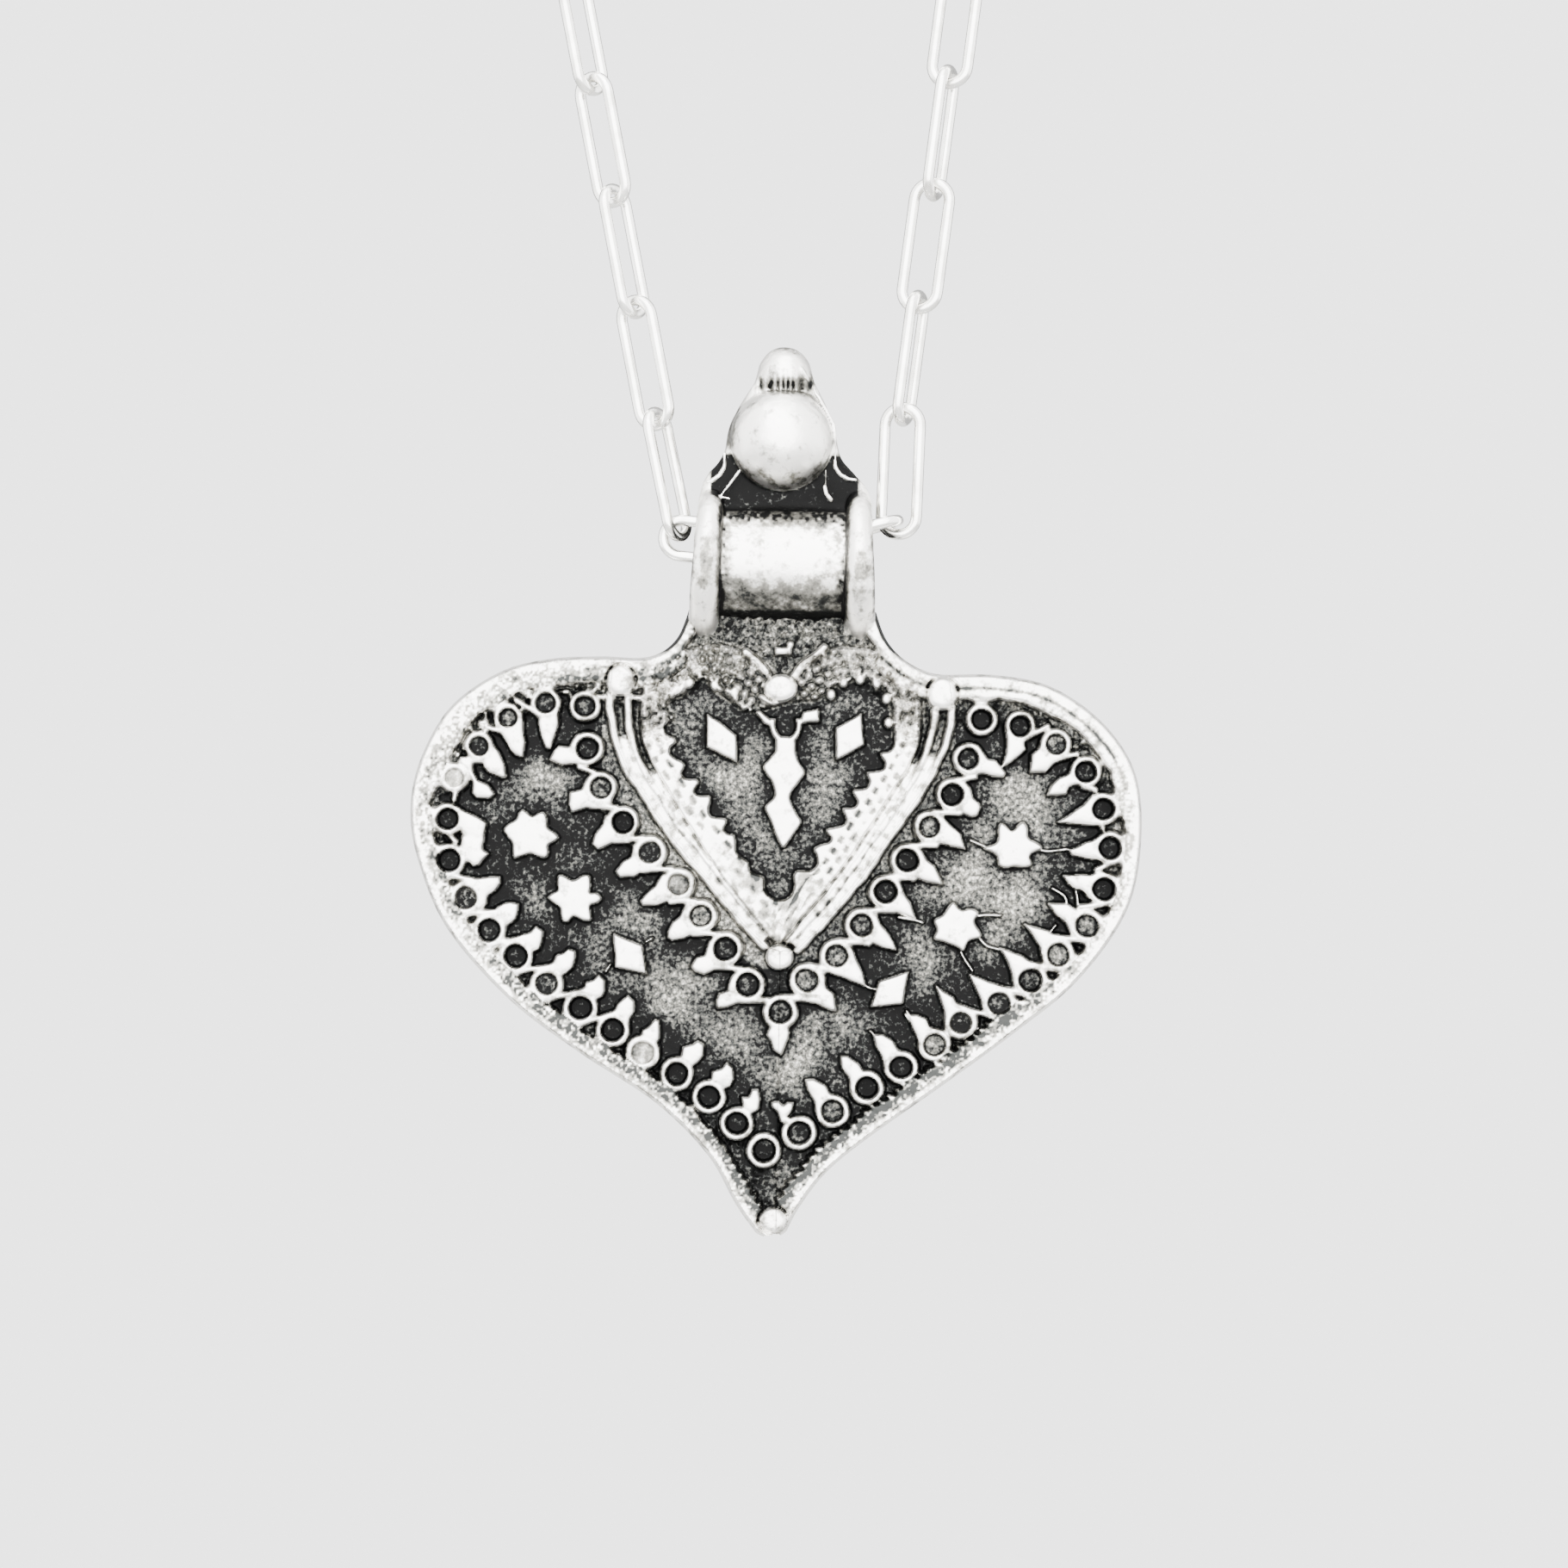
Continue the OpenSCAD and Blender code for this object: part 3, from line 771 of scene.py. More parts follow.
    def raise_to(self, height: Array, part: Part = (slice(None), slice(None))) -> None:
        """Keep the higher of what is there and what comes."""
        self.height[part] = np.maximum(self.height[part], height)

    def rim(self) -> None:
        """Border: two wires at the upper right, a worn band elsewhere, and a rope below."""
        x, z = self.x, self.z
        near, along = self.outline.measure(x, z)
        self.depth = np.abs(near) * np.where(polygon_distance(x, z, self.corners[::3]) < 0, 1, -1)
        d = self.depth - self.draft
        left = ease((2 - x) / 4)
        right = 1 - left
        top = ease((z + 13) / 3)
        low = ease((-20.5 - z) / 3.5)
        low_tip = ease((-29 - z) / 3)
        mid_right = right * (1 - low) * ease((-11.5 - z) / 2.5)
        upper_left, upper_right = left * top, right * top
        at_neck = ease((z + 5.6) / 1.2)
        width = (self.rim_w + 0.12 * upper_left - 0.4 * mid_right + 0.1 * cloud(x, z, 1.1, 14)
                 - 0.2 * left * low - 0.12 * left * (1 - top) * (1 - low)) * (1 - 0.62 * at_neck)
        groove_at = 0.5 + 0.4 * upper_left + 0.12 * low
        groove = np.clip(upper_right + upper_left * 0.7 * ease((x + 12.5) / 1.5)
                         + 0.75 * low * right + 0.12 * low * left + 0.4 * low_tip
                         - mid_right - at_neck, 0, 1)
        rope = np.clip(0.95 * low * right + 0.2 * low * left + 0.5 * low_tip, 0, 1)
        past = d - groove_at
        twist = 0.5 + 0.5 * np.cos(2 * math.pi * (along / self.rope_pitch + past * 1.1))
        inner = width - rope * 0.2 * twist + 0.06 * cloud(x, z, 0.35, 16)
        band = self.rim_h * (0.74 + 0.26 * ease(d / 0.22)) * ease((inner - d) / 0.2)
        band -= 0.36 * groove * bell(past / 0.08) * (d < width)
        band -= 0.26 * rope * twist * ease(past / 0.15) * (d < width)
        self.raise_to(np.where(d > -0.5, band, 0))
        crumbs = (0.46 * left * (0.4 + 0.6 * top) + 0.22 * right * top) * (1 - at_neck)
        crumbs = crumbs * ease((d - 0.6) / 0.4) * ease((2.5 - d) / 0.5)
        self.crumbs = crumbs * (0.62 + 0.9 * cloud(x, z, 0.28, 15) + 0.4 * cloud(x, z, 0.7, 17))
        self.rim_gap = inner - d
        self.edge = ease((0.34 - d) / 0.2)
        self.dull += np.where(d < width + 0.2, 0.3 * rope * twist * ease(past / 0.1), 0)
        grey = (0.3 + 0.12 * left + 0.33 * low) * (1 - 0.4 * upper_right)
        self.dull += (d < width) * grey * (1 + 1.1 * cloud(x, z, 0.12, 18))
        line = bell(past / (0.17 - 0.07 * upper_right)) * (d < width)
        uneven = 0.75 + (0.5 - 0.4 * upper_right) * cloud(x, z, 0.4, 19)
        self.dull += 0.95 * groove * (1 - 0.25 * low) * line * uneven

    def wires(self) -> None:
        """Plain wires that frame the inner heart."""
        for points in self.left_wires + self.right_wires + self.neck_wires:
            track = Track(flow(points))
            low = np.array([track.x.min(), track.z.min()])
            high = np.array([track.x.max(), track.z.max()])
            part, x, z = self.window(*0.5 * (low + high), 0.6 + 0.5 * max(high - low))
            near = np.abs(track.measure(x, z)[0])
            worn = 0.04 * cloud(x, z, 0.8, 43)
            self.raise_to(swell(near - 0.5 * self.wire_w + worn, self.wire_h, 0.16, 0.1), part)
            self.dull[part] += 0.26 * (near < 0.32) * (0.5 + cloud(x, z, 0.3, 44))

    def rope_band(self) -> None:
        """Band of worn ropes round the inner heart, from the lobes down to the point.

        Below its lobes the casting has filled the gaps between the band and its wires.
        """
        half = flow(self.band_outer)
        mirrored = half * np.array([-1.0, 1.0])
        inner = np.vstack([flow(self.left_inner, 6), np.array(self.right_inner)[::-1]])
        outer = np.vstack([half, mirrored[::-1]])
        part, x, z = self.window(0, -12, 9.2)
        zone = np.maximum(-polygon_distance(x, z, inner), polygon_distance(x, z, outer[::3]))
        zone = blur(zone, 0.07 / self.cell)
        wires = [[flow(points) for points in pair] for pair in (self.left_wires, self.right_wires)]
        for (first, second), edge, tops in zip(wires, (half, mirrored), self.fill_tops):
            below = edge[edge[:, 1] < -8.5]
            for a, b, top in ((first, second, tops[0]), (second, below, tops[1])):
                fill = polygon_distance(x, z, np.vstack([a, b[::-1]])[::3])
                full = ease((top - z) / 1.6)
                self.raise_to(ease(0.5 - fill / self.flank) * full * self.fill_h, part)
        (out_l, along_l), (out_r, along_r) = (Track(pair[0]).measure(x, z) for pair in wires)
        out_l, out_r = np.abs(out_l), np.abs(out_r)
        self.near_band[part] = ease((1.45 - np.minimum(out_l, out_r)) / 0.5)
        d = np.where(x < 0, out_l, out_r)
        along = np.where(x < 0, along_l, along_r)
        lobes = ease((z + 10.4) / 2.4)
        pitch = 0.78 + 0.3 * (1 - ease((x + 0.5) / 2.5))
        width = 0.16 + 0.04 * cloud(x, z, 0.5, 53)
        pits = np.zeros(x.shape)
        for number, (row, deep) in enumerate(self.rope_rows):
            beat = np.cos(2 * math.pi * (along / pitch + number * 0.37))
            pits = np.maximum(pits, bell((d - row) / width) * ease((beat + 0.45) / 0.8) * deep)
        pits *= ease((1.6 + cloud(x, z, 1.6, 54) * 1.5) / 1.5)
        edge_d, edge_a = Track(outer).measure(x, z)
        edge_d = np.abs(edge_d)
        row = np.floor(edge_d / self.bead_w)
        bead = (0.5 - 0.5 * np.cos(2 * math.pi * edge_d / self.bead_w)) * (
            0.5 + 0.5 * np.cos(2 * math.pi * (edge_a / self.bead_l + row * 0.5)))
        inward = ease((5.4 - np.abs(x)) / 1.6) * ease((z + 8.5) / 1.0)
        rough = (0.28 - 0.06 * inward + (0.8 - 0.1 * inward) * bead
                 + 0.1 * cloud(x, z, 0.3, 51) + 0.06 * cloud(x, z, 0.13, 55))
        height = (self.band_h - 0.035 * pits * (1 - lobes)) * (1 - lobes) + lobes * rough
        self.raise_to(ease(0.5 - zone / self.flank) * height, part)
        point = ease((-15.0 - z) / 2.0) * (zone < 0)
        self.dull[part] += (zone < 0.6) * (1 - lobes) * 0.76 * pits
        self.lobe[part] = (zone < 0.2) * lobes
        self.dull[part] += (zone < 0) * 0.1 * lobes + point * (0.3 + 0.2 * cloud(x, z, 0.45, 52))

    def teeth_and_ovals(self) -> None:
        """Small teeth at the lobes and dark hollows along the band's inner edge."""
        for cx, cz in self.teeth:
            part, x, z = self.window(cx, cz, 1.3)
            self.raise_to(swell(np.hypot(x - cx, (z - cz) * 0.8) - 0.24, 0.74), part)
        for cx, cz, rx, rz in self.dark_ovals:
            part, x, z = self.window(cx, cz, 1)
            away = np.hypot((x - cx) / rx, (z - cz) / rz)
            self.height[part] *= ease((away - 0.8) / 0.4)
            # Painted shade: each oval hollow darker towards its edge and lighter in its middle,
            # over the oxide's dark.
            dark = 0.55 + 0.25 * ease((away - 0.6) / 0.4)
            self.floor_soot_and_shade[part] = np.where(away < 1.05, dark, self.floor_soot_and_shade[part])

    def ring_row(self, row: tuple[Ring, ...], at_rim: bool, bar: Points) -> None:
        """Row of rings with their ornaments, run together where they nearly touch.

        Args:
            row: The rings in order.
            at_rim: Whether the row lies along the rim and has run into it.
            bar: Ends of the bar from each ring to the next, from the middle of each.
        """
        gap = -self.rim_gap if at_rim else np.full(self.x.shape, 4.0)
        for ring in row:
            part, x, z = self.window(ring.x, ring.z, 3.0)
            dx, dz = x - ring.x, z - ring.z
            shape = np.hypot(dx, dz) - ring.radius
            crisp = ring.z <= self.crisp_z
            if ring.ornament:
                leaf = polygon_distance(dx, dz, np.array(ring.ornament)) - 0.03
                shape = join(shape, leaf, 0.08 if crisp else 0.22)
            gap[part] = join(gap[part], shape, 0.16 if crisp else 0.42)
            self.dull[part] += 0.2 * ease((ring.radius + 0.15 - np.hypot(dx, dz)) / 0.2)
        for ring, after in zip(row, row[1:]):
            if ring.ornament and after.ornament and ring.z > self.crisp_z:
                track = Track(np.add(((ring.x, ring.z), (after.x, after.z)), bar))
                part, x, z = self.window(0.5 * (ring.x + after.x), 0.5 * (ring.z + after.z), 2.4)
                gap[part] = join(gap[part], np.abs(track.measure(x, z)[0]) - 0.15, 0.12)
        height = self.relief_h * (1 + 0.05 * cloud(self.x, self.z, 1.9, 71))
        self.raise_to(swell(gap, height, 0.18, 0.1) * (gap < 1))

    def hollows(self, row: tuple[Ring, ...]) -> None:
        """Sink the hollows of a row of rings down to their floors.

        Args:
            row: The rings.
        """
        for ring in row:
            part, x, z = self.window(ring.x, ring.z, 1)
            away = np.hypot(x - ring.x, z - ring.z)
            past = away - self.hole_share * ring.radius
            bowl = ring.floor + (0.8 - ring.floor) * ease((past + 0.06) / 0.13)
            there = self.height[part]
            self.height[part] = np.where(past < 0.1, np.minimum(there, bowl), there)
            # Floor tone: oxide, darker on deeper floors, and painted shade that darkens the floor
            # towards the hollow's wall and leaves its middle lighter.
            tone = np.clip(0.78 - 1.5 * ring.floor + 0.3 * ease((past + 0.3) / 0.25), 0.02, 1)
            self.floor_soot_and_shade[part] = np.where(past < 0, tone, self.floor_soot_and_shade[part])
            self.dull[part] += (past < 0) * (0.75 - 0.8 * ring.floor) * (ring.floor > 0.05)

    def figures(self) -> None:
        """Stars, lozenges and the middle figure of the inner heart."""
        stars = [tuple((cx + dx, cz + dz) for dx, dz in star) for (cx, cz), *star in self.stars]
        for corners in (*stars, *self.lozenges, self.figure, *self.wings):
            shape = np.array(corners)
            if len(corners) > 5:
                shape = flow((corners[-1], *corners, *corners[:2]), 4)[4:-5]
            low, high = shape.min(0), shape.max(0)
            part, x, z = self.window(*0.5 * (low + high), 0.8 + 0.5 * max(high - low))
            self.raise_to(swell(polygon_distance(x, z, shape) - 0.02, self.relief_h + 0.03), part)
        part, x, z = self.window(*self.fork, 1.4)
        dx, dz = x - self.fork[0], z - self.fork[1]
        fork = np.maximum(np.abs(np.hypot(dx, dz * 0.85) - 0.72) - 0.15, dz - 0.35)
        self.raise_to(swell(fork, self.relief_h), part)
        self.height[part] *= ease((np.hypot(dx, dz - 0.05) - 0.42) / 0.14)
        part, x, z = self.window(*self.scrap, 1.2)
        dx, dz = x - self.scrap[0], z - self.scrap[1]
        scrap = np.minimum(np.maximum(np.abs(dx) - 0.45, np.abs(dz) - 0.22),
                           np.hypot(dx - 0.35, dz - 0.35) - 0.2)
        self.raise_to(swell(scrap, 0.6), part)

    def domes(self) -> None:
        """Domed beads, round or oval, that stand over what lies round them."""
        for cx, cz, rx, rz in self.beads:
            part, x, z = self.window(cx, cz, 1.5)
            r = np.hypot((x - cx) / rx, (z - cz) / rz)
            moat = ease((r - 1.02) / 0.1) + ease((1.0 - r) / 0.1)
            self.height[part] *= np.where(r < 1.22, np.clip(moat, 0.5, 1), 1)
            dome = 0.48 + 0.5 * np.sqrt(np.clip(1.02 - r ** 5, 0, 1))
            self.raise_to(dome * ease((1.04 - r) / 0.1), part)
            self.pure[part] = np.maximum(self.pure[part], r < 0.98)

    def hairlines(self) -> None:
        """Hairline ridges where the mould had cracked, left as cast."""
        for crack in self.cracks:
            track = Track(flow(crack), 0.03)
            part, x, z = self.window(float(track.x.mean()), float(track.z.mean()), 1.3)
            self.raise_to(0.62 * ease(1 - np.abs(track.measure(x, z)[0]) / 0.12), part)

    def carve(self) -> None:
        """Build the whole face in the order in which its ornaments lie on each other."""
        at_rim = (self.left_rings, self.right_rings)
        rows = (*at_rim, self.left_v_rings, self.right_v_rings)
        self.rim()
        self.rope_band()
        self.teeth_and_ovals()
        self.wires()
        for row, bar in zip(rows, self.bars):
            self.ring_row(row, row in at_rim, bar)
        self.raise_to(self.crumbs)
        self.figures()
        self.hairlines()
        for row in rows:
            self.hollows(row)
        self.domes()
        self.finish()

    def finish(self) -> None:
        """Add the skin of the casting and work out where it is worn, where it is black with oxide
        and where shade is painted on.
        """
        x, z = self.x, self.z
        neck = ease((z + 6.5) / 1.4) * ease((6.2 - np.abs(x)) / 1.0)
        fine = cloud(x, z, 0.1, 21)
        skin = 0.1 + 0.1 * fine + 0.1 * cloud(x * 1.6, z * 0.7, 0.45, 22)
        self.height += neck * ease((0.4 - self.height) / 0.3) * skin
        self.height += 0.025 * cloud(x, z, 2.4, 5) + 0.014 * cloud(x, z, 0.5, 6)
        self.height = 0.4 * self.height + 0.6 * blur(self.height, 0.8)
        high = ease((self.height - 0.25) / 0.3)
        close, wide = blur(high, 0.32 / self.cell), blur(high, 1.1 / self.cell)
        concave = np.clip(blur(self.height, 0.2 / self.cell) - self.height, 0, 1)
        rubbed = self.height / 0.72 - 0.4 * np.clip(self.dull, 0, 1) * (self.height < 0.6)
        self.raised = np.maximum(np.clip(rubbed, 0, 1.2),
                                 self.edge * (1 - 0.35 * ease((z + 6.0) / 1.5)))
        light, murky, tip = (np.exp(-((x - cx) / rx) ** 2 - ((z - cz) / rz) ** 2)
                             for cx, cz, rx, rz in self.spots)
        # Ground darker near raised metal: oxide left at the base of the walls, together with
        # painted shade where the walls close round it.
        ground = 0.95 * close + 1.35 * wide + 0.11 + 0.3 * cloud(x, z, 1.7, 61)
        ground += 0.04 * ease((-22 - z) / 2)
        ground = np.clip(ground - 0.3 * light + 0.15 * murky, 0, 0.84) - 0.42 * tip
        border = ease((2.2 - self.depth) / 0.8) * (0.25 + 0.75 * ease((z + 21) / 6))
        worn = np.clip(0.7 * border * (0.75 + 0.3 * cloud(x, z, 0.5, 62)), 0, 0.9)
        beside = self.near_band * (0.54 + 0.36 * ease((-12.0 - z) / 3) * (x < 0))
        ground = ground * (1 - worn) * (1 - beside)
        ground = np.where(neck > 0, ground * (1 - 0.7 * neck) + (0.16 + 0.2 * fine) * neck, ground)
        ground = np.clip(ground * (1 - 0.55 * self.lobe), 0, 1)
        ground = np.where(self.floor_soot_and_shade >= 0, self.floor_soot_and_shade, ground)
        self.dull += neck * 0.12
        # Tops: oxide in pits and dull places. Ground: the oxide and painted shade worked out above.
        self.soot = np.where(high > 0.5, np.clip(2.2 * concave + self.dull, 0, 1), ground)
        self.soot *= (1 - 0.6 * self.edge) * (1 - 0.75 * self.pure)

    @staticmethod
    def around(values: Array) -> list[Array]:
        """Values at the four corners of each cell of the grid."""
        return [values[:-1, :-1], values[1:, 1:], values[:-1, 1:], values[1:, :-1]]

    def blocks(self) -> tuple[tuple[str, Array], ...]:
        """Share the face among three pieces.

        Returns:
            Name and cells of each piece.
        """
        cx, cz = 0.25 * sum(self.around(self.x)), 0.25 * sum(self.around(self.z))
        inside = np.maximum.reduce(self.around(self.depth - self.draft)) > 0
        seam = ((-8.95, -2.0), (-8.95, -6.0), *self.left_wires[0][1:], (0.1, -20.4),
                *self.right_wires[0][::-1], (8.8, -6.0), (8.8, -2.0))
        heart = polygon_distance(cx, cz, np.array(seam)) < 0
        return (("inner_heart", inside & heart), ("plate_left", inside & ~heart & (cx < 0.1)),
                ("plate_right", inside & ~heart & (cx >= 0.1)))


@dataclass
class HeartPlate(SubAssembly):
    """The cast plate behind the bail: three closed pieces that share one face and one back."""

    nodes: ClassVar[tuple[str, ...]] = ("heart_pendant",) * 3
    field_y: float = 0.95
    back_y: float = 1.35
    back_cell: float = 0.6
    middle_z: float = -16.0
    relief: Relief = field(default_factory=Relief)

    def outward(self, k: Array) -> Array:
        """Unit normals at samples of the outline, away from the heart's middle.

        Args:
            k: Numbers of the samples.

        Returns:
            The normals, one row each.
        """
        line = self.relief.outline
        normals = np.stack([line.tz[k], -line.tx[k]], 1)
        nx, nz = normals.T
        flip = -np.sign(-line.x[k] * nx + (self.middle_z - line.z[k]) * nz)
        return normals * flip[:, None]

    def snapped(self) -> tuple[Array, Array, Array]:
        """Put the grid's outer places on the outline of the face.

        Returns:
            Coordinates x and z, and the outline sample of each place that was moved or -1.
        """
        r = self.relief
        d = r.depth - r.draft
        x, z, sample = r.x.copy(), r.z.copy(), np.full(r.x.shape, -1)
        out = (d <= 0) & (d > -4 * r.cell)
        k = r.outline.nearest(x[out], z[out])
        away = self.outward(k) * r.draft
        x[out], z[out] = r.outline.x[k] - away[:, 0], r.outline.z[k] - away[:, 1]
        sample[out] = k
        return x, z, sample

    @staticmethod
    def border(quads: Array) -> Array:
        """Find the vertices round the border of a net of quads.

        Args:
            quads: The net.

        Returns:
            Numbers of the vertices, in the way that the quads turn.
        """
        edges = np.vstack([quads[:, [0, 1]], quads[:, [1, 2]], quads[:, [2, 3]], quads[:, [3, 0]]])
        keys = {(a, b) for a, b in edges.tolist()}
        after = {a: b for a, b in keys if (b, a) not in keys}
        loop = [next(iter(after))]
        while after[loop[-1]] != loop[0] and len(loop) <= len(after):
            loop.append(after[loop[-1]])
        return np.array(loop)

    def piece(self, name: str, cells: Array, grid: tuple[Array, Array, Array],
              normals: Array) -> bpy.types.Object:
        """Build one closed piece from its share of the face.

        Args:
            name: Name of the piece.
            cells: Cells of the grid that belong to it.
            grid: What snapped() gives.
            normals: Shading normal of each grid place.

        Returns:
            The object.
        """
        r = self.relief
        x, z, sample = grid
        i, j = np.nonzero(cells)
        columns = x.shape[1]
        at = i * columns + j
        used, numbers = np.unique(np.stack([at, at + 1, at + columns + 1, at + columns], 1),
                                  return_inverse=True)
        quads = numbers.reshape(-1, 4)
        front = np.stack([x.ravel()[used], -self.field_y - r.height.ravel()[used],
                          z.ravel()[used]], 1)
        ring = self.border(quads)
        k = sample.ravel()[used][ring]
        push = np.where(k[:, None] >= 0, self.outward(k), 0.0)
        rows, walls = [front], [quads]
        count, last = len(front), ring
        side = ((0.12, -1.3), (0.23, -0.95), (r.draft, 0.1), (r.draft, 0.75),
                (r.draft - 0.1, 1.12), (r.draft - 0.42, self.back_y))
        for out, y in side:  # how far out from the edge of the face, and how deep
            rows.append(np.stack([front[ring, 0] + push[:, 0] * out, np.full(len(ring), y),
                                  front[ring, 2] + push[:, 1] * out], 1))
            now = np.arange(count, count + len(ring))
            walls.append(np.stack([last, now, np.roll(now, -1), np.roll(last, -1)], 1))
            count, last = count + len(ring), now
        cap, extra = self.back(rows[-1][:, [0, 2]])
        lookup = np.r_[last, np.arange(count, count + len(extra))]
        uneven = self.back_y + 0.03 * cloud(extra[:, 0], extra[:, 1], 3.0, 31)
        places = np.vstack([*rows, np.stack([extra[:, 0], uneven, extra[:, 1]], 1)])
        faces = np.vstack(walls).tolist() + [[int(lookup[v]) for v in face][::-1] for face in cap]
        rest_x, rest_y, rest_z = places[len(used):].T
        # Side walls darker where they meet the bail at the neck: oxide in that corner and painted
        # shade under the bail.
        fillet_soot_and_shade = ease((rest_z + 5.2) / 0.9) * ease((0.75 - rest_y) / 1.3)
        behind = ease((rest_y - 0.9) / 0.4)
        patina = (0.34 + 0.2 * cloud(rest_x, rest_z, 3.5, 32)
                  + 0.1 * cloud(rest_x, rest_z, 1.0, 33))
        raised = np.r_[r.raised.ravel()[used], 0.8 - 0.75 * fillet_soot_and_shade - 0.12 * behind]
        soot = np.r_[r.soot.ravel()[used], 0.12 + 0.85 * fillet_soot_and_shade + behind * patina]
        shading = np.vstack([normals.reshape(-1, 3)[used], np.zeros((len(rest_x), 3))])
        shading[ring] = 0
        shading[last] = np.stack([0.6 * push[:, 0], np.full(len(last), 0.8), 0.6 * push[:, 1]], 1)
        shading[last] /= np.linalg.norm(shading[last], axis=1)[:, None]
        shading[len(places) - len(extra):] = (0.0, 1.0, 0.0)
        return make_object(name, places, faces, {"raised": raised, "soot": soot}, shading)

    def back(self, loop: Array) -> tuple[list, Array]:
        """Close the back with triangles between its edge and a coarse net of places.

        Args:
            loop: Places round the back's edge.

        Returns:
            Triangles as numbers of the edge's places and then the inner ones, and the inner places.
        """
        axes = (np.arange(low, high, self.back_cell) for low, high in zip(loop.min(0), loop.max(0)))
        gx, gz = (axis.ravel() for axis in np.meshgrid(*axes))
        deep = polygon_distance(gx, gz, loop[::5]) < -0.35
        inner = np.stack([gx[deep], gz[deep]], 1)
        n = len(loop)
        edges = [(k, (k + 1) % n) for k in range(n)]
        every = [Vector(p) for p in np.vstack([loop, inner]).tolist()]
        _, _, faces, origin, _, _ = geometry.delaunay_2d_cdt(
            every, edges, [list(range(n))], 1, 1e-6)
        named = [o[0] if o else 0 for o in origin]
        return [[named[v] for v in face] for face in faces], inner

    def build(self) -> list[bpy.types.Object]:
        """Carve the face and build its pieces.

        Returns:
            The three pieces.
        """
        r = self.relief
        r.carve()
        dz, dx = np.gradient(r.height, r.cell)
        normals = np.stack([dx, np.ones_like(dx), dz], -1)
        normals = -normals / np.linalg.norm(normals, axis=-1)[..., None]
        grid = self.snapped()
        return [self.piece(name, cells, grid, normals) for name, cells in r.blocks()]


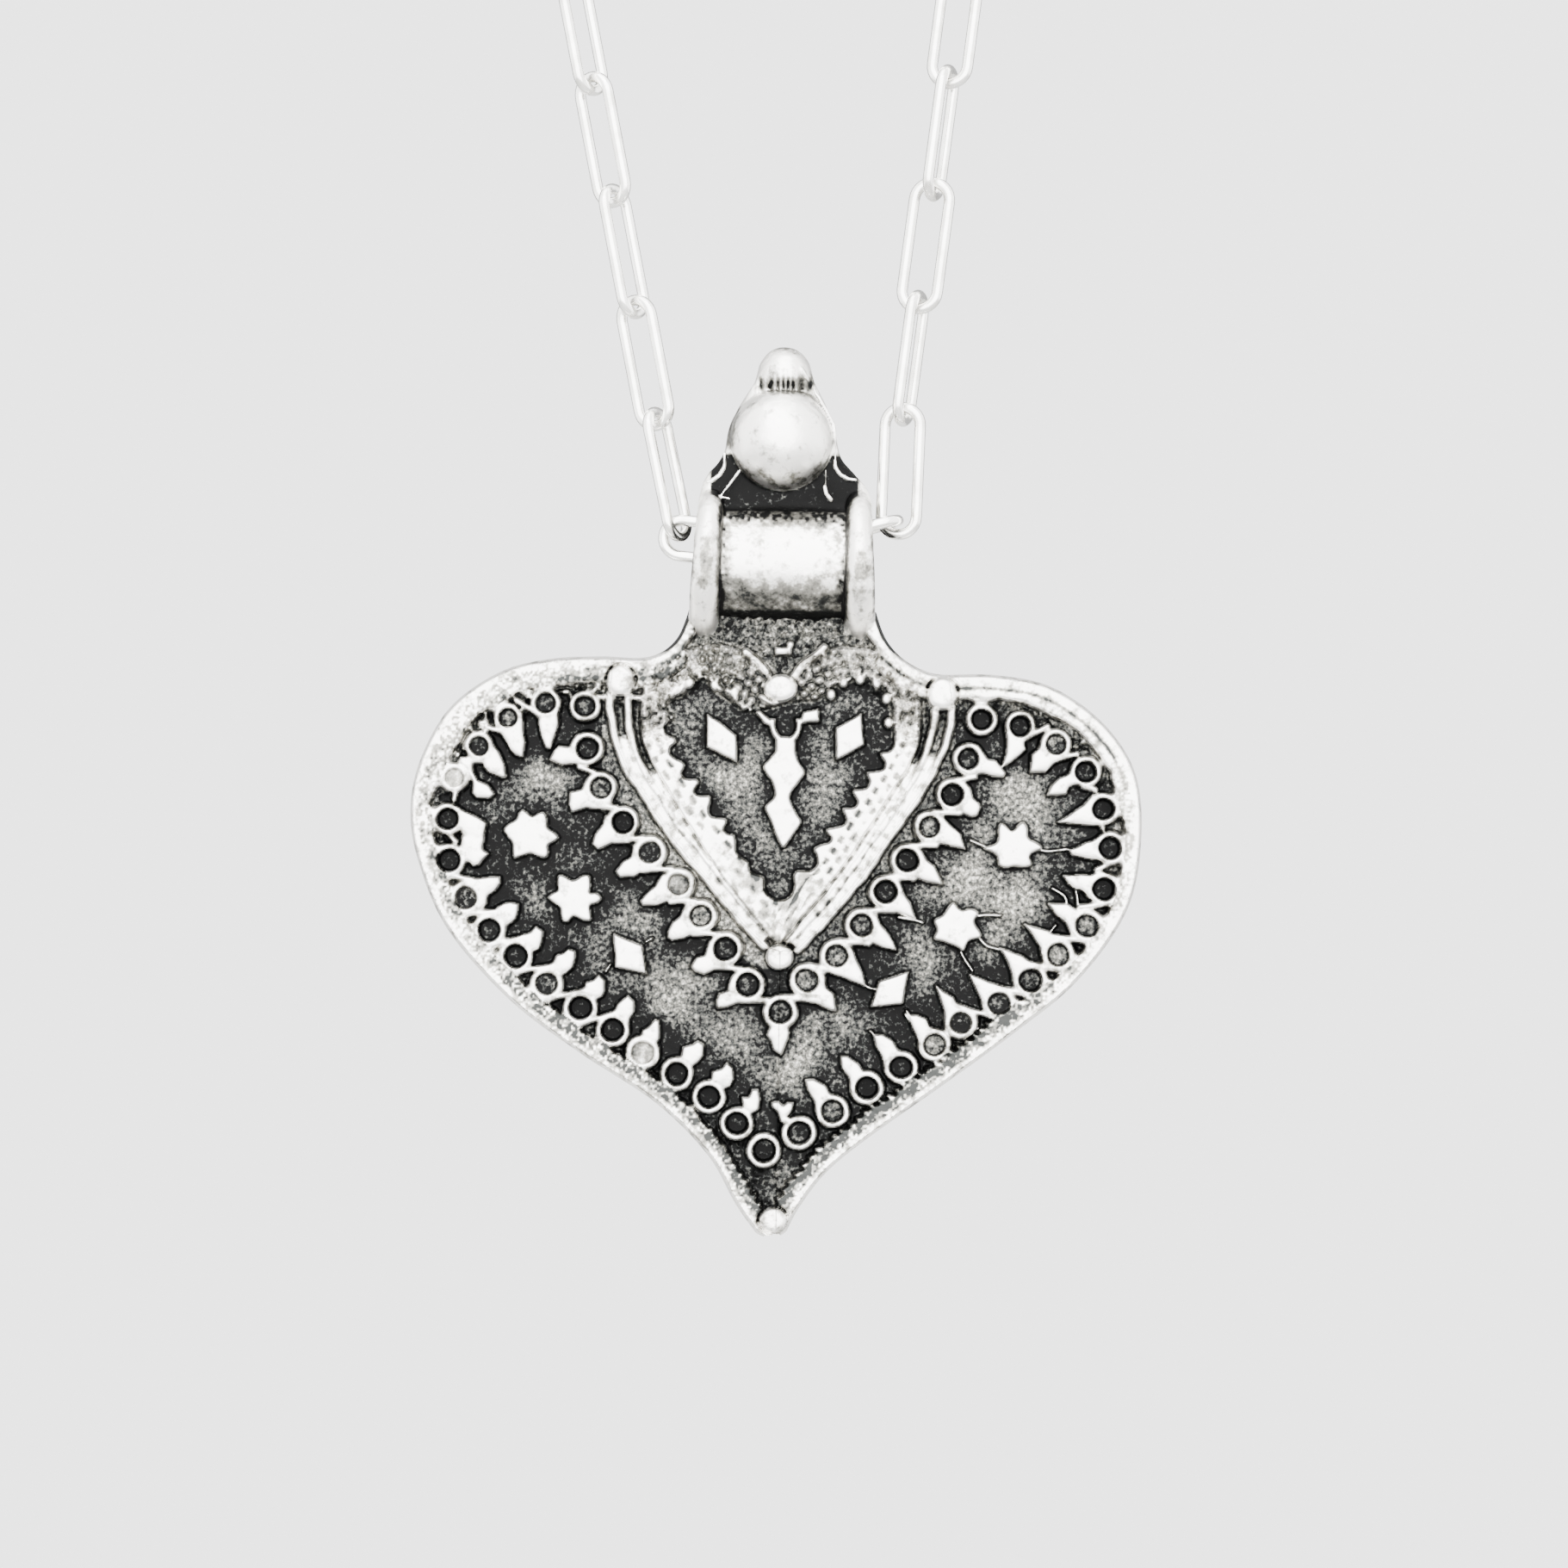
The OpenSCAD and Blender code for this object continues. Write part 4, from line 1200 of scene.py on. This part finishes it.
@dataclass
class BailAndCrown(SubAssembly):
    """Tube with its two collars and the crown above it, one casting with soft inner corners."""

    cell: float = 0.085
    grid_low: tuple[float, ...] = (-5.15, -4.25, -4.45)
    grid_size: tuple[float, ...] = (10.3, 8.5, 16.1)
    bore_r: float = 2.6
    tube_r: float = 3.05
    tube_half: float = 4.03
    collar_r: float = 3.255
    collar_t: float = 1.45
    ball: tuple[float, ...] = (-0.17, -0.6, 6.5)
    ball_r: float = 2.72
    cap_r: float = 1.42
    web_half: float = 1.15
    flash_r: float = 0.075
    web: Points = marks(-440, 0, -445, 340, -407, 460, -355, 520, -318, 585, -305, 660, -285, 740,
        -235, 845, -175, 935, -150, 990, -135, 1050, -85, 1115, -10, 1136, 65, 1115, 115, 1060,
        130, 1000, 165, 930, 200, 870, 250, 756, 277, 636, 308, 545, 385, 457, 440, 390, 445, 330,
        440, 0)
    flashes: Lines = lines(
        (82, -135, 1020, 115, -120, 970, 157, -120, 898, 215, -115, 810, 256, -105, 729,
         266, -103, 640, 264, -105, 510, 293, -105, 470, 334, -110, 446, 374, -110, 442),
        (-318, -100, 575, -317, -103, 502, -340, -105, 460, -381, -105, 428, -410, -105, 420),
        (-235, -160, 479, -283, -150, 413, -338, -160, 340, -285, -170, 330), width=3)
    drips: Lines = lines((215, -200, 485, 217, -190, 430, 212, -200, 390),
                         (212, -200, 395, 220, -200, 360, 245, -190, 330), width=3)
    drip_r: tuple[float, float] = (0.08, 0.15)

    @staticmethod
    def strand(at: list[Array] | Array, way: Points, radius: float) -> Array:
        """Distance to a thin line of metal along a way.

        Args:
            at: Coordinates x, y and z of the places.
            way: Corners of the line.
            radius: Radius of the line.

        Returns:
            Signed distance.
        """
        best = np.full(at[0].shape, 9.0, np.float32)
        for a, b in zip(way, way[1:]):
            e = np.subtract(b, a)
            away = [axis - start for axis, start in zip(at, a)]
            t = np.clip(sum(d * step for d, step in zip(away, e)) / (e @ e), 0, 1)
            square = sum((d - t * step) ** 2 for d, step in zip(away, e))
            best = np.minimum(best, np.sqrt(square) - radius)
        return best

    @staticmethod
    def sphere(at: list[Array] | Array, middle: tuple[float, ...], radius: float) -> Array:
        """Distance to a sphere."""
        return np.sqrt(sum((axis - m) ** 2 for axis, m in zip(at, middle))) - radius

    @staticmethod
    def furrow(x: Array) -> Array:
        """Uneven upright furrows at the foot of the crown's cap."""
        return np.abs(np.sin(x * 9 + 1.2 * np.sin(x * 3.1)))

    def solid(self, at: list[Array]) -> Array:
        """Distance to the whole casting, negative inside.

        Args:
            at: Coordinates x, y and z of the places.

        Returns:
            Signed distance.
        """
        x, y, z = at
        round_x = np.hypot(y, z)
        tube = np.maximum(round_x - self.tube_r, np.abs(x) - self.tube_half)
        flat = polygon_distance(x[:, 0, :], z[:, 0, :], flow(self.web, 4))[:, None, :]
        thick = np.abs(y - 0.1) - self.web_half * (1 - 0.22 * ease((z - 3) / 6))
        web = np.hypot(np.maximum(flat + 0.5, 0), np.maximum(thick + 0.5, 0)) - 0.5
        web = np.where((flat < -0.5) & (thick < -0.5), np.maximum(flat, thick), web)
        body = join(tube, web, 0.35)
        body = join(body, self.sphere(at, self.ball, self.ball_r), 0.22)
        cap = self.sphere(((x + 0.05) * 1.03, y, z), (0, -0.25, 9.9), self.cap_r)
        body = join(body, cap, 0.3)
        half = self.collar_t / 2
        for side, lean in ((-1, 0.05), (1, -0.02)):
            across = x - (side * 4.0 + lean * z)
            width = half * (1 - 0.03 * z)
            collar = np.hypot(round_x - self.collar_r, across * half / width) - half
            crease = (0.05 * bell(across / 0.1) * ease((0.5 - z) / 0.6) * ease((z + 2.6) / 0.6)
                      * (y < 0))
            body = join(body, collar + crease, 0.16)
        neck = np.maximum.reduce([np.abs(x) - 4.55, -0.86 - y, y - 1.2, z + 2.7, -4.28 - z])
        body = join(body, neck, 0.4)
        for way in self.flashes:
            body = join(body, self.strand(at, way, self.flash_r), 0.05)
        for way, radius in zip(self.drips, self.drip_r):
            body = np.minimum(body, self.strand(at, way, radius))
        strip = ease((9.75 - z) / 0.25) * ease((z - 8.85) / 0.2) * ease((-y - 0.4) / 0.4)
        body = body + 0.14 * self.furrow(x) ** 2 * strip
        uneven = (cloud(x + 0.6 * y, z + 0.3 * y, 1.3, 41) * 0.03
                  + cloud(x - 0.4 * y, z + y, 0.35, 42) * 0.012)
        return np.maximum(body + uneven, self.bore_r - round_x)

    def net(self) -> tuple[Array, Array, Array, Array]:
        """Lay a net of quads over the casting's surface.

        Returns:
            Vertices, quads, shading normals, and how enclosed each vertex is.
        """
        size = [int(v / self.cell) for v in self.grid_size]
        axes = [low + self.cell * np.arange(n) for low, n in zip(self.grid_low, size)]
        f = self.solid(np.meshgrid(*axes, indexing="ij")).astype(np.float32)
        cells = [n - 1 for n in size]
        total, hits = np.zeros([*cells, 3], np.float32), np.zeros(cells, np.float32)
        for p, q in product(CORNERS, repeat=2):
            if sum(q) - sum(p) == 1 and all(b >= a for a, b in zip(p, q)):
                a, b = (f[tuple(slice(o, n + o) for o, n in zip(end, cells))] for end in (p, q))
                cross = (a < 0) != (b < 0)
                t = np.where(cross, a / np.where(cross, a - b, 1), 0)
                for k in range(3):
                    total[..., k] += cross * (p[k] + t * (q[k] - p[k]))
                hits += cross
        live = hits > 0
        number = np.full(hits.shape, -1)
        number[live] = np.arange(live.sum())
        index = np.stack(np.nonzero(live), 1)
        places = np.array(self.grid_low) + self.cell * (index + total[live] / hits[live][:, None])
        quads = []
        for k in range(3):
            cross = (f < 0) != (np.roll(f, -1, k) < 0)
            limit = [slice(1, n) for n in cells]
            limit[k] = slice(0, cells[k])
            mask = np.zeros(f.shape, bool)
            mask[tuple(limit)] = cross[tuple(limit)]
            spot = np.stack(np.nonzero(mask), 1)
            du, dv = np.eye(3, dtype=int)[[(k + 1) % 3, (k + 2) % 3]]
            quad = np.stack([number[tuple((spot - s * du - t * dv).T)]
                             for s, t in ((0, 0), (1, 0), (1, 1), (0, 1))], 1)
            inward = f[tuple(spot.T)] >= 0
            quad[inward] = quad[inward][:, ::-1]
            quads.append(quad)
        faces = np.vstack(quads)
        faces = faces[(faces >= 0).all(1)]
        normals = self.sample(np.stack(np.gradient(f, self.cell), -1), places)
        normals /= np.linalg.norm(normals, axis=1)[:, None] + 1e-9
        closed = np.zeros(len(places))
        for reach in (0.5, 1.0, 1.8):
            there = self.sample(f[..., None], places + normals * reach)[:, 0]
            closed += np.clip(1 - there / reach, 0, 1) / 3
        return places, faces, normals, closed

    def sample(self, values: Array, places: Array) -> Array:
        """Read a grid of values between its points.

        Args:
            values: Grid with the values of each point in its last axis.
            places: Places to read.

        Returns:
            Values at each place.
        """
        g = np.clip((places - self.grid_low) / self.cell, 0, np.array(values.shape[:3]) - 1.001)
        i = g.astype(int)
        t = g - i
        out = 0
        for corner in CORNERS:
            share = np.where(corner, t, 1 - t).prod(1)
            out = out + share[:, None] * values[tuple((i + corner).T)]
        return out

    def build(self) -> list[bpy.types.Object]:
        """Build the casting and work out where it is worn, where it is black with oxide and where
        shade is painted on.

        Returns:
            The piece.
        """
        places, faces, normals, closed = self.net()
        x, y, z = places.T
        grit = 0.5 + 0.5 * cloud(x, z, 0.16, 81)
        on_tube = ease((3.5 - np.hypot(y, z)) / 0.3) * ease((3.35 - np.abs(x)) / 0.2)
        on_ball = ease((0.07 - self.sphere(places.T, self.ball, self.ball_r)) / 0.08)
        # Enclosed places darker: oxide in the corners and painted shade where they are shut in.
        shut = (1.1 * closed - 0.12) * (1 - 0.45 * np.maximum(on_ball, on_tube))
        shut *= 1 - 0.7 * ease((-z - 1.9) / 0.4)
        # Hollow between the tube and the ball painted black: oxide and painted shadow of the ball.
        recess_soot_and_shadow = ease((z - 2.5) / 0.35) * ease((6.0 - z) / 0.5) * ease((4.05 - np.abs(x)) / 0.3)
        recess_soot_and_shadow = recess_soot_and_shadow * ease((y + 2.3) / 0.6) * (1 - on_ball) * (y < 0)
        seam = bell((np.abs(x) - 3.3) / 0.16) * ease((z + 3.2) / 0.4) * ease((3.2 - z) / 0.4)
        # Tube's top under the ball: speckled oxide and painted shadow of the ball.
        lip_soot_and_shadow = on_tube * (0.16 * grit + ease((z - 1.4) / 1.1) * (0.36 + 0.85 * grit))
        sides = on_tube * bell((np.abs(x) - 3.1) / 0.4) * (0.2 + grit) * ease((z + 1.8) / 1.0)
        # Painted shade on the lower part of the tube.
        tube_bottom_shade = on_tube * ease((-z - 2.35) / 0.5)
        stripes = bell((z - 9.4) / 0.5) * (0.3 + 0.5 * self.furrow(x) + 0.2 * grit)
        stripes *= ease((1.6 - np.abs(x)) / 0.3)
        # Painted shade on the ball's underside, speckled by the grit.
        ball_underside_shade = ease((5.2 - z) / 0.9) * on_ball * (0.2 + 0.8 * grit)
        # Painted shade on the ball's left side, where it turns sideways.
        flank = ease((-x - 2.2) / 0.4) * ease((y + 1.9) / 0.5) * ease((z - 5.6) / 0.6)
        # Painted shade along the shallow crease down each collar's front, speckled by the grit.
        collar_crease_shade = bell((np.abs(x) - 4.1) / 0.14) * ease((1.0 - z) / 1.4) * grit * (z > -3.2)
        soot = np.maximum.reduce([shut, recess_soot_and_shadow, 0.75 * seam, 0.6 * lip_soot_and_shadow, 0.65 * sides, 0.4 * tube_bottom_shade,
                                  0.95 * stripes, 0.46 * ball_underside_shade, 0.55 * flank, 0.5 * collar_crease_shade])
        # Painted shade: the tube darker on its underside, and a little darker near the ball above
        # it.
        under = ease((-z + 0.2) / 2.4) * on_tube
        soot = np.clip(soot + 0.64 * under + 0.2 * on_tube * ease((z - 0.6) / 1.4), 0, 1)
        for way in self.flashes:
            line = self.strand(places.T, way, self.flash_r)
            soot *= 1 - 0.9 * ease((0.05 - line) / 0.05)
        in_bore = ease((self.bore_r + 0.15 - np.hypot(y, z)) / 0.1) * (np.abs(x) < 4.3)
        soot = np.maximum(soot, 0.8 * in_bore)
        # The tops' brightness follows the soot value, so the painted shade dims them too.
        raised = np.clip(1.05 - 0.9 * soot ** 1.3, 0, 1)
        return [make_object("bail_and_crown", places, faces.tolist(),
                            {"raised": raised, "soot": soot}, normals)]


@dataclass(frozen=True)
class Strand:
    """How one half of the chain hangs, from the link inside the tube up to the clasp."""

    name: str
    side: int      # -1 for the left one and 1 for the right one
    lean: float    # degrees from upright near the pendant
    tube: Points   # ends of the link inside the tube
    hook: Points   # ends of the first link above it
    rolls: tuple[float, float, float]  # turns of the tube's link, of odd and of even links
    twist: float   # further turn from each link to the next


@dataclass
class LinkChain(SubAssembly):
    """Closed chain of long oval links, each turned a quarter from the last one."""

    body: ClassVar[str] = "chain"
    slot: ClassVar[Slot] = Slot.CHAIN
    nodes: ClassVar[tuple[str, ...]] = ("chain_left", "chain_right")
    wire: float = 0.6
    link_l: float = 7.32
    link_w: float = 2.5
    pitch: float = 6.0
    arc_r: float = 32.8
    arc_z: float = 166.2
    arc_foot: float = 9.0      # degrees below its middle where the arc begins
    leaning: int = 4           # links of each strand: leaning, going straight up, on the arc
    straight: int = 22
    arc: int = 9
    clasp_half: float = 2.74   # where a strand ends, from the middle
    sides: int = 16
    bends: int = 15
    strands: tuple[Strand, ...] = (
        Strand("silver_chain_left", -1, 11.6, ((0, 0.75), (-5.97, 1.35)),
               ((-5.54, 1.72), (-6.83, 7.57)), (2, 60, -30), -2.5),
        Strand("silver_chain_right", 1, 6.8, ((-0.1, 0.75), (5.7, 2.3)),
               ((6.05, 2.02), (6.22, 7.98)), (88, -14, 68), 0))

    def link(self, a: Array, b: Array, roll: float) -> Mesh:
        """Build one link between two joints of the chain's way.

        Args:
            a: First joint.
            b: Second joint.
            roll: Turn of its broad side from the chain's plane, in degrees.

        Returns:
            Vertices and quads.
        """
        r = (self.link_w - self.wire) / 2
        half = self.link_l / 2 - self.link_w / 2
        t = np.linspace(0, math.pi, self.bends)
        top = np.stack([r * np.cos(t), 0 * t, half + r * np.sin(t)], 1)
        low = np.stack([-r * np.cos(t), 0 * t, -half - r * np.sin(t)], 1)
        down = np.array([0.6, 0.2, -0.2, -0.6]) * half  # places along the long sides
        path = np.vstack([top, [(-r, 0, z) for z in down], low, [(r, 0, -z) for z in down]])
        lean = math.radians(90) - math.atan2(b[1] - a[1], b[0] - a[0])
        turn = (np.array(Matrix.Rotation(lean, 3, "Y"))
                @ np.array(Matrix.Rotation(math.radians(roll), 3, "Z")))
        middle = np.array([(a[0] + b[0]) / 2, 0, (a[1] + b[1]) / 2])
        return sweep(path @ turn.T + middle, turn @ np.array([0, 1.0, 0]), self.wire / 2,
                     self.sides)

    def joints(self, strand: Strand) -> Array:
        """Joints of one strand from its second link up to the clasp.

        Args:
            strand: The strand.

        Returns:
            Joints, one row each.
        """
        start, lean = np.array(strand.hook[1]), math.radians(strand.lean)
        step = self.pitch * np.array([strand.side * math.sin(lean), math.cos(lean)])
        bend = start + self.leaning * step
        turn = np.linspace(-math.radians(self.arc_foot),
                           math.radians(90) - math.asin(self.clasp_half / self.arc_r),
                           self.arc + 1)
        arc = np.stack([strand.side * self.arc_r * np.cos(turn),
                        self.arc_z + self.arc_r * np.sin(turn)], 1)
        return np.vstack([
            start + (bend - start) * np.arange(self.leaning)[:, None] / self.leaning,
            bend + (arc[0] - bend) * np.arange(self.straight)[:, None] / self.straight, arc])

    def build(self) -> list[bpy.types.Object]:
        """Build both strands.

        Returns:
            Left strand and right strand.
        """
        pieces = []
        for strand in self.strands:
            first, odd, even = strand.rolls
            way = self.joints(strand)
            parts = [self.link(*np.array(strand.tube), first),
                     self.link(*np.array(strand.hook), odd)]
            parts += [self.link(way[k - 1], way[k], (even if k % 2 else odd) + strand.twist * k)
                      for k in range(1, len(way))]
            places, quads = merge(parts)
            pieces.append(make_object(strand.name, places, quads.tolist()))
        return pieces


@dataclass
class RingClasp(SubAssembly):
    """Plain ring clasp with a small eye, at the hidden top of the chain."""

    body: ClassVar[str] = "chain"
    slot: ClassVar[Slot] = Slot.CLASP
    nodes: ClassVar[tuple[str, ...]] = ("clasp",)
    chain: LinkChain = field(default_factory=LinkChain)
    x: float = 1.12
    wire: float = 0.9
    ring_r: float = 2.19
    eye_x: float = -3.47       # from the ring's middle
    eye_r: float = 0.9
    eye_wire: float = 0.6
    sides: int = 18
    bends: int = 64

    def build(self) -> list[bpy.types.Object]:
        """Build the clasp where the two strands end.

        Returns:
            The piece.
        """
        z = self.chain.arc_z + math.sqrt(self.chain.arc_r ** 2 - self.chain.clasp_half ** 2)
        turn = np.linspace(0, 2 * math.pi, self.bends, endpoint=False)
        loops = []
        for x, radius, wire in ((self.x, self.ring_r, self.wire),
                                (self.x + self.eye_x, self.eye_r, self.eye_wire)):
            path = np.stack([x + radius * np.cos(turn), 0 * turn, z + radius * np.sin(turn)], 1)
            loops.append(sweep(path, np.array([0, 1.0, 0]), wire / 2, self.sides))
        places, quads = merge(loops)
        return [make_object("ring_clasp", places, quads.tolist())]


@dataclass
class Studio:
    """Pale floor, soft light from the front and above, and the camera straight in front."""

    view_x: float = 0.21      # middle of the view
    view_z: float = -11.61
    frame_w: float = 82.8     # how much of the object's plane fits across it
    lens: float = 100.0
    sensor: float = 36.0
    roll: float = 0.83        # degrees
    floor_drop: float = 0.42  # metres below the pendant, as all that follows
    floor_r: float = 1.1

    def floor(self, material: bpy.types.Material) -> None:
        """Round pale floor well below the pendant, outside the main view.

        Args:
            material: Its paint.
        """
        turn = np.linspace(0, 2 * math.pi, 96, endpoint=False)
        z = -DROP * MM - self.floor_drop
        mesh = bpy.data.meshes.new("floor")
        mesh.from_pydata([(self.floor_r * math.cos(a), self.floor_r * math.sin(a), z)
                          for a in turn], [], [list(range(96))])
        board = bpy.data.objects.new("floor", mesh)
        bpy.context.scene.collection.objects.link(board)
        mesh.materials.append(material)

    def softbox(self, name: str, place: tuple[float, float, float], size: float,
                power: float) -> None:
        """Add one square soft light that looks at the pendant.

        Args:
            name: Name of the light.
            place: Its place from the pendant, in metres.
            size: Length of its side in metres.
            power: Power in watts.
        """
        light = bpy.data.lights.new(name, "AREA")
        light.shape, light.size, light.energy = "SQUARE", size, power
        lamp = bpy.data.objects.new(name, light)
        lamp.location = Vector(place) + Vector((0, 0, -DROP * MM))
        lamp.rotation_euler = (-Vector(place)).to_track_quat("-Z", "Y").to_euler()
        lamp.visible_camera = False
        bpy.context.scene.collection.objects.link(lamp)

    def world(self) -> None:
        """Pale room: white above, before and behind the object, grey below and round its sides.

        The grey belt gives round wire and steep flanks their thin darker edge, and the grey
        below gives round metal its shaded underside.
        """
        world = bpy.data.worlds.new("pale_room")
        bpy.context.scene.world = world
        world.use_nodes = True
        tree = world.node_tree
        way = add_node(tree, "SeparateXYZ", {"Vector": add_node(tree, "TexCoord")}).outputs
        deep, high = (add_node(tree, "Math", {"operation": "MULTIPLY_ADD", 0: way[axis],
                                              1: 0.5, 2: 0.5}) for axis in ("Y", "Z"))
        behind = add_node(tree, "ValToRGB", {"Fac": deep, "stops": (
            (0.7, "#9a9a99"), (0.77, "#6c6c6c"), (0.93, "#6c6c6c"), (0.978, "#cacaca"))})
        before = add_node(tree, "ValToRGB", {"Fac": high, "stops": (
            (0.05, "#4c4c4b"), (0.2, "#9a9a99"), (0.38, "#f0f0ef"), (0.9, "#f8f8f7"))})
        turn = add_node(tree, "MapRange", {"Value": deep, "From Min": 0.62, "From Max": 0.74})
        mix = add_node(tree, "Mix", {"data_type": "RGBA", "Factor": turn, 6: before, 7: behind})
        feed(tree, tree.nodes["Background"], {"Color": mix.outputs[2], "Strength": 5.6})

    def camera(self) -> None:
        """Camera at the photograph's viewing angle."""
        data = bpy.data.cameras.new("camera")
        data.lens, data.sensor_width = self.lens, self.sensor
        data.clip_start, data.clip_end = 0.01, 20
        camera = bpy.data.objects.new("camera", data)
        bpy.context.scene.collection.objects.link(camera)
        away = self.frame_w / self.sensor * self.lens
        camera.location = Vector((self.view_x, -away, self.view_z - DROP)) * MM
        camera.rotation_euler = (math.radians(90), math.radians(-self.roll), 0)
        bpy.context.scene.camera = camera

    def build(self, material: bpy.types.Material) -> None:
        """Set up the floor, the room, the lights and the camera.

        Args:
            material: Paint of the floor.
        """
        self.floor(material)
        self.world()
        self.softbox("front_softbox", (0.0, -0.85, 0.25), size=1.25, power=31)
        self.softbox("top_softbox", (-0.1, -0.3, 0.7), size=0.6, power=7)
        self.camera()


def main() -> None:
    """Build and dress every piece in order, then set up the studio."""
    logging.basicConfig(level=logging.INFO, format="%(message)s")
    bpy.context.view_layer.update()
    cast, drawn = OxidisedCastSilver().make(), DrawnSilver().make()
    chain = LinkChain()
    for assembly, metal in ((HeartPlate(), cast), (BailAndCrown(), cast), (chain, drawn),
                            (RingClasp(chain), drawn)):
        assembly.dress(assembly.build(), metal)
    Studio().build(PaintedBoard().make())


if __name__ == "__main__":
    main()
